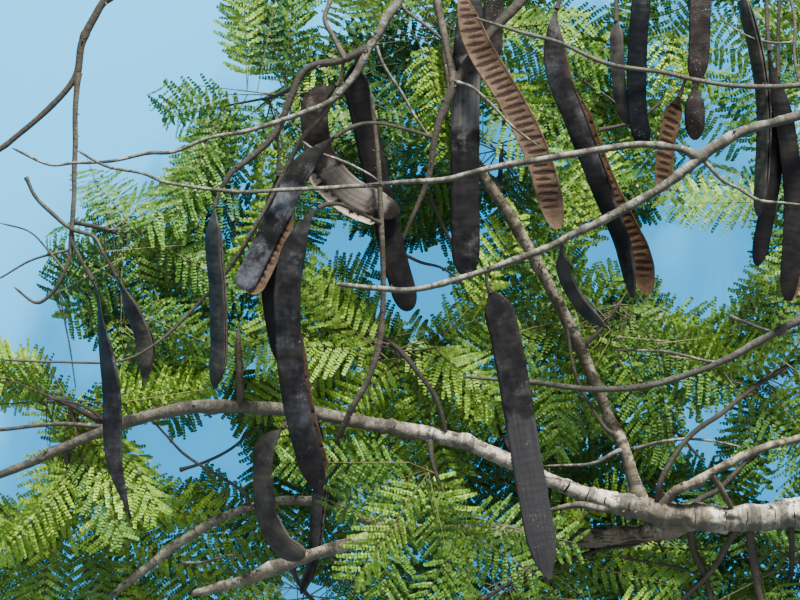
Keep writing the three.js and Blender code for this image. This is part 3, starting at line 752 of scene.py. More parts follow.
LIMBS: dict[str, LimbPlan] = {
    "main_bough": LimbPlan((
        (1010, 478, 27, 62), (950, 487, 78, 59), (880, 505, 145, 53), (809, 513, 185, 48),
        (749, 519, 200, 40), (687, 515, 207, 35), (647, 510, 208, 38), (589, 495, 205, 28),
        (551, 481, 203, 21), (518, 464, 201, 23), (481, 449, 199, 25), (442, 436, 198, 23),
        (402, 429, 198, 24), (323, 416, 195, 22), (283, 410, 194, 21), (203, 407, 189, 21),
        (146, 417, 182, 19), (104, 430, 171, 17), (66, 446, 155, 16), (35, 461, 141, 15),
        (-15, 480, 118, 12)), Bark.BOUGH, 1.5, ((0.31, 0.02, 0.12), (0.42, 0.018, 0.1), (0.5, 0.03, 0.1),
        (0.59, 0.035, 0.16), (0.66, 0.02, 0.1), (0.71, 0.018, 0.14), (0.92, 0.015, 0.12), (1.1, 0.015, 0.12),
        (1.26, 0.02, 0.16), (1.47, 0.02, 0.2))),
    "upright_limb": LimbPlan((
        (642, 509, 207, 23), (623, 447, 203, 18), (606, 410, 195, 18), (575, 336, 186, 18),
        (539, 267, 184, 19), (508, 213, 184, 20), (486, 179, 184, 17), (457, 118, 184, 13),
        (446, 62, 184, 11)), Bark.TAN, 1.3, ((0.12, 0.015, 0.12), (0.22, 0.015, 0.1), (0.33, 0.015, 0.12),
        (0.45, 0.015, 0.12))),
    "right_limb": LimbPlan((
        (660, 510, 209, 16), (675, 491, 227, 15), (694, 483, 231, 14), (719, 468, 231, 13),
        (757, 450, 228, 12), (800, 438, 220, 11), (848, 424, 205, 9)), Bark.TAN, 1.3, ((0.085, 0.01, 0.35),
        (0.14, 0.01, 0.2))),
    "low_limb": LimbPlan((
        (706, 515, 205, 30), (662, 531, 182, 29), (630, 535, 173, 27), (589, 537, 169, 30),
        (549, 537, 167, 29), (480, 532, 166, 24), (429, 532, 165, 21), (371, 538, 163, 21),
        (312, 555, 158, 21), (275, 569, 151, 20), (238, 582, 143, 16), (192, 594, 130, 12)), Bark.PEELING,
        1.5, ((0.16, 0.02, 0.12), (0.3, 0.02, 0.12), (0.5, 0.02, 0.15), (0.74, 0.02, 0.2))),
    "low_side_limb": LimbPlan((
        (425, 532, 165, 17), (386, 524, 155, 19), (368, 520, 149, 19), (330, 504, 127, 18),
        (292, 500, 115, 15), (253, 506, 109, 14), (213, 522, 103, 16), (179, 543, 98, 16), (148, 567, 92, 15),
        (115, 593, 83, 13), (98, 608, 76, 10)), Bark.SHADED, 1.2),
    "middle_shoot": LimbPlan((
        (333, 504, 129, 12), (334, 478, 170, 11), (337, 445, 212, 11), (350, 412, 238, 10),
        (368, 380, 248, 10), (378, 350, 254, 10), (383, 300, 262, 9), (382, 240, 270, 9), (378, 160, 276, 8),
        (371, 92, 280, 7)), Bark.BROWN),
    "front_branch": LimbPlan((
        (917, 95, 250, 23), (862, 98, 300, 21), (812, 111, 330, 17), (774, 123, 343, 15), (735, 134, 350, 17),
        (704, 155, 352, 18), (671, 181, 353, 14), (639, 201, 353, 14), (601, 221, 353, 13),
        (566, 238, 353, 11), (549, 247, 353, 11), (510, 262, 353, 10), (454, 280, 350, 9), (413, 290, 347, 9),
        (374, 288, 344, 9), (336, 284, 342, 7)), Bark.GREY, 1.1, ((0.36, 0.012, 0.15), (0.45, 0.01, 0.15),
        (0.62, 0.01, 0.15), (0.74, 0.008, 0.2), (0.86, 0.008, 0.2))),
    "front_fork": LimbPlan((
        (699, 158, 352, 13), (680, 149, 356, 11), (639, 145, 358, 11), (562, 156, 357, 11),
        (483, 170, 350, 9), (442, 180, 342, 9), (404, 182, 330, 8), (363, 186, 319, 7), (284, 190, 341, 7),
        (242, 192, 347, 6), (165, 182, 352, 5), (144, 174, 353, 5), (106, 166, 354, 5), (78, 151, 354, 4)),
        Bark.GREY),
    "fine_twig": LimbPlan((
        (913, 70, 249, 9), (855, 78, 300, 8), (800, 85, 320, 8), (757, 87, 327, 8), (706, 82, 335, 7),
        (665, 73, 344, 7), (605, 63, 350, 7), (558, 42, 352, 6), (520, 32, 354, 6), (475, 18, 356, 4)),
        Bark.DIM),
    "top_riser": LimbPlan((
        (935, 490, 92, 40), (944, 440, 140, 38), (943, 350, 196, 36), (936, 250, 228, 34),
        (922, 130, 246, 32), (905, 35, 250, 30)), Bark.GREY, 1.4),
    "top_limb": LimbPlan((
        (905, 42, 250, 29), (885, -20, 250, 28), (830, -62, 250, 27), (740, -82, 250, 25),
        (620, -88, 250, 22), (500, -84, 250, 19), (400, -76, 250, 17), (290, -80, 248, 15),
        (190, -74, 244, 13), (128, -62, 240, 11)), Bark.GREY, 1.3),
    "top_fork": LimbPlan((
        (560, -86, 250, 17), (537, -32, 290, 16), (521, 0, 308, 16), (488, 37, 317, 15), (456, 82, 317, 14),
        (437, 130, 315, 12), (429, 176, 309, 9), (403, 240, 296, 6)), Bark.DARK),
    "upper_left_branch": LimbPlan((
        (425, -78, 250, 15), (402, -8, 300, 14), (375, 38, 322, 13), (354, 76, 330, 12), (332, 100, 334, 9),
        (305, 112, 336, 8), (247, 131, 340, 7), (209, 138, 341, 6), (173, 152, 341, 6), (150, 153, 341, 6),
        (112, 161, 341, 5), (74, 163, 339, 5), (51, 165, 337, 5), (12, 148, 334, 4)), Bark.GREY),
    "cross_twig": LimbPlan((
        (338, 93, 333, 9), (318, 120, 324, 9), (300, 142, 314, 8), (279, 183, 303, 8), (258, 222, 298, 7),
        (225, 274, 283, 6), (200, 302, 274, 6), (153, 346, 262, 5), (120, 361, 255, 4), (60, 362, 246, 4),
        (4, 360, 238, 4)), Bark.BROWN),
    "dark_branch": LimbPlan((
        (368, 49, 325, 12), (341, 60, 318, 12), (306, 70, 305, 12), (291, 97, 298, 11), (278, 130, 292, 11),
        (248, 160, 292, 10), (232, 172, 297, 9), (221, 188, 302, 8)), Bark.DARK),
    "left_branch": LimbPlan((
        (150, -66, 241, 15), (112, -5, 238, 15), (103, 3, 237, 13), (83, 40, 234, 13), (75, 77, 232, 11),
        (49, 108, 229, 10), (18, 135, 227, 9), (3, 147, 226, 9), (-28, 168, 224, 7)), Bark.DARK),
    "left_hanger": LimbPlan((
        (78, 73, 232, 10), (75, 115, 237, 9), (75, 150, 241, 9), (74, 190, 246, 8), (71, 240, 250, 8),
        (68, 264, 249, 7), (52, 293, 244, 6), (37, 303, 240, 5), (14, 287, 236, 4)), Bark.BROWN),
    "left_twig": LimbPlan((
        (26, 177, 262, 6), (35, 196, 261, 6), (52, 213, 258, 7), (72, 229, 255, 7), (94, 237, 258, 6),
        (104, 256, 257, 5)), Bark.DIM),
    "right_branch": LimbPlan((
        (939, 290, 217, 15), (870, 298, 226, 14), (800, 320, 230, 13), (760, 341, 231, 13),
        (720, 362, 232, 12), (680, 377, 232, 11), (640, 387, 232, 11), (590, 389, 231, 10),
        (530, 382, 228, 8), (465, 377, 224, 5)), Bark.DIM),
}

PALE_TWIGS: Routes = (
    ((716, 363, 232, 6), (701, 360, 237, 5), (668, 352, 239, 5), (614, 350, 239, 3)),
    ((702, 158, 352, 7), (721, 179, 354, 6), (738, 188, 355, 5), (758, 200, 355, 5), (785, 203, 354, 4),
     (820, 207, 350, 3)),
    ((456, 82, 318, 6), (473, 88, 350, 5), (490, 103, 357, 5), (513, 127, 358, 4), (541, 148, 357, 3)),
    ((634, 449, 205, 6), (660, 442, 214, 5), (684, 439, 216, 5), (712, 441, 214, 4), (742, 447, 208, 3)),
    ((729, 316, 226, 6), (745, 322, 228, 5), (764, 329, 228, 5), (782, 333, 226, 4), (806, 331, 222, 3)),
    ((376, 46, 322, 5), (384, 66, 318, 5), (400, 90, 312, 4), (416, 118, 308, 4), (436, 146, 306, 3)),
    ((300, 140, 313, 5), (318, 152, 322, 4), (345, 162, 326, 4), (372, 176, 328, 3), (384, 186, 327, 2)),
    ((182, 563, 112, 5), (205, 562, 118, 5), (226, 556, 120, 4), (246, 556, 121, 3)),
    ((640, 508, 208, 16), (600, 508, 216, 13), (579, 505, 216, 12), (548, 510, 210, 6)),
    ((624, 449, 205, 7), (614, 453, 218, 7), (594, 463, 222, 6), (543, 466, 222, 3)),
    ((795, 42, 308, 4), (775, 43, 308, 4), (750, 37, 305, 3), (722, 20, 300, 3)),
    ((108, 427, 172, 9), (60, 424, 165, 7), (0, 430, 150, 6), (-25, 433, 142, 4)),
)

DARK_TWIGS: Routes = (
    ((806, 262, 150, 8), (782, 280, 160, 7), (757, 300, 165, 7), (735, 319, 168, 7), (713, 338, 168, 6),
     (684, 355, 164, 5), (640, 368, 156, 4)),
    ((690, 508, 200, 11), (702, 498, 190, 10), (716, 491, 184, 9), (728, 481, 180, 9), (746, 462, 172, 8),
     (775, 440, 160, 6), (806, 420, 146, 4)),
    ((664, 427, 166, 6), (678, 434, 172, 5), (690, 447, 178, 5), (704, 462, 182, 4)),
    ((684, 409, 158, 4), (670, 416, 162, 5), (658, 422, 164, 5), (628, 424, 158, 4), (596, 418, 150, 3)),
    ((552, 566, 150, 8), (578, 557, 156, 8), (602, 549, 160, 7), (640, 544, 166, 5)),
    ((656, 534, 160, 5), (661, 548, 156, 4), (668, 562, 150, 4), (672, 586, 140, 3)),
    ((500, 300, 160, 6), (512, 322, 162, 5), (530, 340, 160, 5), (546, 362, 156, 4)),
    ((430, 196, 190, 7), (441, 222, 186, 6), (452, 244, 182, 5), (460, 270, 178, 4)),
    ((396, 250, 180, 6), (420, 262, 178, 5), (442, 268, 176, 4), (470, 290, 170, 3)),
    ((600, 130, 160, 6), (632, 122, 170, 5), (660, 104, 176, 5), (684, 84, 180, 4)),
    ((560, 60, 160, 5), (588, 84, 166, 5), (612, 100, 168, 4), (640, 128, 164, 3)),
    ((180, 470, 112, 6), (205, 462, 120, 5), (232, 448, 126, 5), (254, 428, 130, 3)),
    ((330, 560, 120, 6), (362, 572, 116, 5), (396, 576, 112, 5), (430, 590, 104, 3)),
    ((112, 426, 174, 6), (85, 407, 177, 5), (60, 400, 176, 4), (45, 398, 173, 3)),
    ((690, 516, 205, 14), (693, 547, 182, 13), (706, 578, 166, 12), (712, 606, 156, 11), (716, 640, 142, 8)),
)

FINE_TWIGS: Routes = (
    ((455, 88, 316, 12), (448, 51, 306, 12), (442, 26, 300, 12), (436, -4, 290, 12), (430, -78, 250, 13)),
    ((398, -10, 299, 5), (403, 7, 304, 5), (425, 25, 306, 5), (445, 42, 303, 4)),
    ((790, -60, 252, 6), (790, -10, 296, 5), (795, 25, 305, 5), (794, 51, 311, 5), (799, 84, 319, 5)),
    ((612, 434, 203, 7), (604, 427, 216, 7), (576, 376, 212, 6), (566, 325, 206, 5), (556, 296, 194, 4)),
    ((712, 474, 231, 9), (722, 490, 224, 9), (733, 510, 208, 9)),
    ((749, 515, 200, 15), (751, 545, 186, 14), (755, 568, 174, 14), (760, 604, 160, 13), (762, 640, 146, 9)),
    ((742, 518, 198, 12), (712, 570, 176, 10), (681, 602, 160, 9), (655, 640, 142, 6)),
    ((708, 585, 163, 5), (693, 573, 167, 5), (655, 563, 169, 4), (619, 558, 166, 3)),
    ((545, 538, 168, 8), (533, 563, 173, 7), (482, 602, 162, 6), (450, 630, 152, 4)),
    ((250, 508, 110, 6), (245, 494, 118, 6), (224, 479, 124, 5), (205, 468, 128, 5), (184, 454, 134, 5),
     (167, 436, 152, 4), (152, 420, 173, 4)),
    ((69, 250, 250, 4), (32, 260, 244, 4), (0, 278, 237, 3), (-20, 288, 232, 2)),
    ((64, 270, 248, 4), (52, 255, 251, 4), (30, 232, 247, 3), (0, 223, 241, 3)),
    ((58, 286, 245, 3), (65, 322, 240, 3), (70, 348, 236, 2.5), (76, 390, 228, 2)),
    ((241, 408, 192, 13), (240, 381, 197, 12), (239, 355, 192, 10), (238, 328, 178, 7)),
    ((345, 59, 320, 9), (335, 40, 318, 8), (325, 20, 308, 8), (330, 0, 298, 8), (336, -78, 250, 8)),
)


@dataclass
class Limb:
    """One limb with the relief of its bark, its collar where it leaves its carrier, and its end."""

    name: str
    plan: LimbPlan
    step: float = 3.2 * MM
    collar: float = 0.4
    collar_reach: float = 2.2
    sway: float = 0.22
    facet: float = 0.5 * MM
    tip: tuple[float, ...] = (0.92, 0.72, 0.35)

    def rings(self) -> tuple[Array, Array]:
        """The limb's surface points.

        Returns:
            Rings of points, and their across and along values.
        """
        route = Route(PICTURE.place(self.plan.route))
        count = max(8, int(route.length / self.step))
        points, direction, own = route.by_length(np.linspace(0, 1, count))
        radius = self.plan.radii(route, own)
        run = np.linspace(0, 1, count) * route.length
        points = points + self.kinks(points, run) * (radius * self.sway)[:, None]
        around = int(np.clip(radius.max() / self.facet, 10, 52))
        side, face = self.carried_frames(direction)
        turn = full_turn(around)
        swell = np.ones((count, around))
        if self.name != "main_bough":
            past_root = np.maximum(run - radius[0], 0) / (self.collar_reach * radius[0])
            swell += self.collar * np.exp(-past_root)[:, None]
        for place, reach, extra in self.plan.knobs:
            lopsided = 1 + 0.6 * np.cos(turn - 9 * place)[None]
            swell += extra * np.exp(-((run - place) / reach) ** 2)[:, None] * lopsided
        swell[-len(self.tip):] *= np.array(self.tip)[:, None]
        outward = around_line(side, face, turn)
        for i in range(count):
            for j in range(around):
                swell[i, j] += self.relief(points[i] + outward[i, j] * radius[i], radius[i], run[i])
        rings = points[:, None] + outward * (radius[:, None] * swell)[:, :, None]
        uv = np.stack(np.broadcast_arrays((turn * radius.mean())[None], run[:, None]), axis=2)
        return rings, uv

    @staticmethod
    def kinks(points: Array, run: Array) -> Array:
        """Small sideways wanderings of the middle line, of up to about 1, and none at its start."""
        wander = [[noise.noise(Vector((r * 24, points[0][0] * 9, k * 5.0))) for k in range(3)] for r in run]
        return np.array(wander) * ease(run / (40 * MM))[:, None]

    def relief(self, spot: Array, radius: float, run: float) -> float:
        """How far the bark stands out at a spot.

        Args:
            spot: The spot.
            radius: The limb's radius there.
            run: Its distance along the limb.

        Returns:
            A share of the radius.
        """
        at = Vector(spot)
        lumps = noise.noise(at * 24.0) * 0.15
        knots = max(0.0, noise.noise(at * 46.0 + Vector((7.0, 3.0, 1.0))) - 0.30) * 0.6
        folds = 1 - abs(noise.noise(Vector((spot[0] * 26, spot[1] * 26, run * 150)))) * 2.2
        grain = noise.noise(at * 380.0) * 0.035
        height = lumps + knots + max(0.0, folds) ** 3 * 0.05 + grain
        return self.plan.relief * height * min(1.0, 0.6 + radius * 30)

    @staticmethod
    def carried_frames(direction: Array) -> tuple[Array, Array]:
        """Side and face vectors that follow the limb without twisting.

        Args:
            direction: Unit directions along it.

        Returns:
            Unit side and face vectors.
        """
        side = np.empty_like(direction)
        first = np.cross(direction[0], UP)
        side[0] = first / np.linalg.norm(first)
        for i in range(1, len(direction)):
            kept = side[i - 1] - direction[i] * float(side[i - 1] @ direction[i])
            side[i] = kept / np.linalg.norm(kept)
        return side, np.cross(side, direction)

    def add_to(self, draft: Draft, slot: int = 0) -> None:
        """Adds the limb's surface and its closed ends.

        Args:
            draft: Where they go.
            slot: Their material.
        """
        rings, uv = self.rings()
        around = rings.shape[1]
        draft.add(rings, loft(rings)[:, ::-1], slot, uv)
        draft.add(rings[0], np.arange(around)[None, :], slot, uv[0])
        draft.add(rings[-1], np.arange(around)[None, ::-1], slot, uv[-1])

    def build(self) -> None:
        """Builds and dresses the limb."""
        draft = Draft()
        self.add_to(draft)
        piece = draft.finish(f"{self.name}_bark", [finish_of(self.plan.bark)])
        settle(piece, (self.name,))


@dataclass
class FineTwigs:
    """The small twigs between the limbs, too fine for solids of their own."""

    groups: tuple[tuple[Bark, Routes], ...] = (
        (Bark.BROWN, FINE_TWIGS), (Bark.GREY, PALE_TWIGS), (Bark.DARK, DARK_TWIGS))

    def build(self) -> None:
        """Builds them as one piece."""
        draft = Draft()
        for slot, (bark, routes) in enumerate(self.groups):
            for route in routes:
                Limb("twig", LimbPlan(route, bark, 0.8), step=5 * MM).add_to(draft, slot)
        settle(draft.finish("fine_twigs", finishes_of(bark for bark, _ in self.groups)))


@dataclass
class PeelingStrips:
    """Ragged strips of bark that lift from the low limb."""

    first: float = 0.09
    last: float = 0.50
    count: int = 30
    thickness: float = 0.9 * MM
    seed: int = 31

    def build(self) -> None:
        """Builds the strips as one piece."""
        plan = LIMBS["low_limb"]
        route = Route(PICTURE.place(plan.route))
        rng = random.Random(self.seed)
        draft = Draft()
        for number in range(self.count):
            start = rng.uniform(self.first, self.last - 0.05)
            end = min(start + rng.uniform(0.05, 0.24), self.last + 0.03)
            self.strip(draft, route, plan, start, end, number, rng)
        settle(draft.finish("peeling_strips", finishes_of((Bark.BROWN, Bark.GREY))))

    def strip(self, draft: Draft, route: Route, plan: LimbPlan, start: float, end: float, number: int,
              rng: random.Random) -> None:
        """Adds one strip.

        Args:
            draft: Where it goes.
            route: The limb's middle line.
            plan: The limb's plan.
            start: Where it starts along the limb, in metres.
            end: Where it ends.
            number: Its number, which sets how it wanders.
            rng: The source of small differences.
        """
        t = np.linspace(0, 1, max(8, int((end - start) / (3.5 * MM))))
        run = start + (end - start) * t
        centre, direction, own = route.by_length(run / route.length)
        radius = plan.radii(route, own)
        side, face = Limb.carried_frames(direction)
        sway = drift(run, 34, number * 7.3, 1.0)
        turn = (math.radians(rng.uniform(-80, 80)) + 0.35 * sway)[:, None]
        out = face * np.cos(turn) + side * np.sin(turn)
        over = side * np.cos(turn) - face * np.sin(turn)
        lift = radius * 1.05 + (0.7 + rng.uniform(0.5, 5.0) * np.abs(2 * t - 1) ** 5 + sway) * MM
        ragged = drift(run, 160, number * 3.1, 4.0)
        ends = np.sin(math.pi * np.clip(t, 0.02, 0.98)) ** 0.4
        half = rng.uniform(1.2, 3.4) * MM * ends * (1 + 0.5 * ragged)
        x = np.stack([half, half, -half, -half], axis=1)
        y = np.array([-0.5, 0.5, 0.5, -0.5])[None] * self.thickness
        middle = centre + out * lift[:, None]
        rings = middle[:, None] + over[:, None] * x[..., None] + out[:, None] * y[..., None]
        uv = np.stack(np.broadcast_arrays(x, run[:, None]), axis=2)
        draft.add(rings, loft(rings), number % 3 // 2, uv)


@dataclass
class Stubs:
    """Short broken shoots and buds along the limbs."""

    spacing: float = 70 * MM
    longest: float = 9 * MM
    seed: int = 47

    def build(self) -> None:
        """Builds them as one piece."""
        rng = random.Random(self.seed)
        draft = Draft()
        for plan in LIMBS.values():
            route = Route(PICTURE.place(plan.route))
            for _ in range(int(route.length / self.spacing)):
                self.stub(draft, route, plan, rng)
        settle(draft.finish("broken_stubs", finishes_of((Bark.BROWN,))))

    def stub(self, draft: Draft, route: Route, plan: LimbPlan, rng: random.Random) -> None:
        """Adds one stub at a random place on a limb.

        Args:
            draft: Where it goes.
            route: The limb's middle line.
            plan: The limb's plan.
            rng: The source of small differences.
        """
        centre, direction, own = route.by_length(np.array([rng.uniform(0.06, 0.97)]))
        radius = float(plan.radii(route, own)[0])
        side, face = level_frames(direction, np.array([rng.uniform(-1.9, 1.9)]))
        way = face[0] + direction[0] * rng.uniform(0.2, 0.9)
        way /= np.linalg.norm(way)
        length = min(self.longest, radius * rng.uniform(0.3, 1.1))
        length = min(length, CAD_BOX[1][2] - centre[0][2] - radius)
        wide = max(0.7 * MM, min(1.7 * MM, 0.24 * radius))
        turn = full_turn(7)
        out = side[0] * np.cos(turn)[:, None] + np.cross(side[0], way) * np.sin(turn)[:, None]
        steps = ((-0.3 * radius, 1.5), (0.2 * length, 1.1), (0.6 * length, 0.9), (length, 0.75),
                 (length * 1.02, 0.1))
        foot = centre[0] + face[0] * radius
        rings = np.stack([foot + way * rise + out * wide * size for rise, size in steps])
        uv = np.zeros((len(steps), len(turn), 2))
        uv[..., 1] = np.array([rise for rise, _ in steps])[:, None]
        draft.add(rings, loft(rings), 0, uv)


@dataclass
class Cracks:
    """Short dark splits that run across the main bough.

    Each is a place in the picture, a length round the bough and a width, both in millimetres.
    """

    places: tuple[Station, ...] = (
        (567, 489, 24, 3.6), (588, 491, 24, 2.2), (606, 496, 15, 2.6), (628, 506, 20, 1.8),
        (694, 514, 30, 1.6), (722, 514, 22, 1.4), (744, 514, 34, 2.0), (771, 514, 30, 1.6),
        (790, 515, 26, 1.8))
    shadow: Colour = (0.008, 0.006, 0.005)

    def build(self) -> None:
        """Builds the cracks as one piece that hugs the bark."""
        plan = LIMBS["main_bough"]
        rings, _ = Limb("main_bough", plan).rings()
        middle = rings.mean(axis=1)
        seen = PICTURE.seen_at(middle)
        around = rings.shape[1]
        draft = Draft()
        for number, (column, row, span, width) in enumerate(self.places):
            i = int(np.argmin(np.hypot(seen[:, 0] - column, seen[:, 1] - row)))
            radius = float(np.linalg.norm(rings[i] - middle[i], axis=1).mean())
            reach = max(3, round(span * MM / radius / (2 * math.pi) * around / 2))
            j = (around // 4 + np.arange(-reach, reach + 1)) % around
            along = middle[i + 1] - middle[i - 1]
            along /= np.linalg.norm(along)
            out = unit(rings[i, j] - middle[i])
            t = np.linspace(-1, 1, len(j))
            half = width * MM / 2 * (1 - t ** 2) ** 0.6 + 0.05 * MM
            aside = 1.4 * MM * np.sin(2.2 * t + number)
            rows = [rings[i, j] + out * (rise * MM) + along * (aside + side * half)[:, None]
                    for side, rise in ((-1, 0.15), (0, 0.5), (1, 0.15))]
            strip = np.stack(rows)
            draft.add(strip, loft(strip, closed=False))
        shade = Shader("crack_shadow").dress(self.shadow, 0.9, None, 0.1)
        settle(draft.finish("bark_cracks", [shade]))


@dataclass
class CutEnd:
    """The sawn face at the thick end, with its rings and its rim of bark."""

    rings: int = 26
    around: int = 60
    gap: float = 0.0006
    relief: float = 0.00025

    def build(self) -> None:
        """Builds the face just outside the bough's end."""
        plan = LIMBS["main_bough"]
        points, direction, _ = Route(PICTURE.place(plan.route)).by_length(np.array([0.0, 0.01]))
        side, face = Limb.carried_frames(direction)
        radius = plan.route[0][3] * MM / 2
        turn = full_turn(self.around)
        share = np.linspace(0.02, 0.96, self.rings)
        wobble = 1 + 0.03 * np.sin(3 * turn + 1.0) + 0.015 * np.sin(7 * turn)
        out = side[0] * np.cos(turn)[:, None] + face[0] * np.sin(turn)[:, None]
        lift = self.gap + self.relief * np.sin(np.arange(self.rings) * 2.4)
        rings = (points[0] + out[None] * (radius * share[:, None] * wobble[None])[:, :, None]
                 - direction[0] * lift[:, None, None])
        uv = np.stack(np.broadcast_arrays(share[:, None] * radius, turn[None] * 0.01), axis=2)
        draft = Draft()
        draft.add(rings, loft(rings), 0, uv)
        draft.add(rings[0], np.arange(self.around)[None, ::-1], 0, uv[0])
        settle(draft.finish("cut_end", [self.wood()]))

    @staticmethod
    def wood() -> Material:
        """The pale sawn wood with its yearly rings.

        Returns:
            The material.
        """
        shader = Shader("sawn_wood")
        radial = shader.coordinates("UV", (900.0, 3.0, 1.0))
        spot = shader.coordinates("Object")
        rings = shader.ramp(shader.noise(radial, 1.0, 2.0), 0.4, 0.62)
        colour = shader.mix(rings, (0.58, 0.43, 0.25), (0.40, 0.26, 0.13))
        stains = shader.ramp(shader.noise(spot, 60.0), 0.45, 0.75, 0, 0.5)
        colour = shader.mix(stains, colour, (0.30, 0.2, 0.12))
        return shader.dress(colour, 0.8, shader.bump(rings, 0.3, 0.0004), 0.2)


class PodForm(Enum):
    """How a pod is seen: whole, gaping along one edge, or as one open valve."""

    WHOLE = "whole"
    GAPING = "gaping"
    OPEN = "open"


@dataclass(frozen=True)
class PodPlan:
    """A pod's route as column, row and height, its stalk's share, its width, turns, opening and finish.

    It gapes from one share of its length to another, by some millimetres, towards one side.
    """

    route: tuple[Spot, ...]
    stalk: float
    width: float
    roll: float = 0.0
    twist: float = 0.0
    form: PodForm = PodForm.WHOLE
    husk: Husk = Husk.CHARCOAL
    lining: Lining = Lining.TAN
    gape_side: int = -1
    gape: tuple[float, float, float] = (0.3, 0.98, 4.5)
    shoulder: float = 0.2
    point: float = 0.13
    blunt: float = 0.5
    neck: float = 0.0


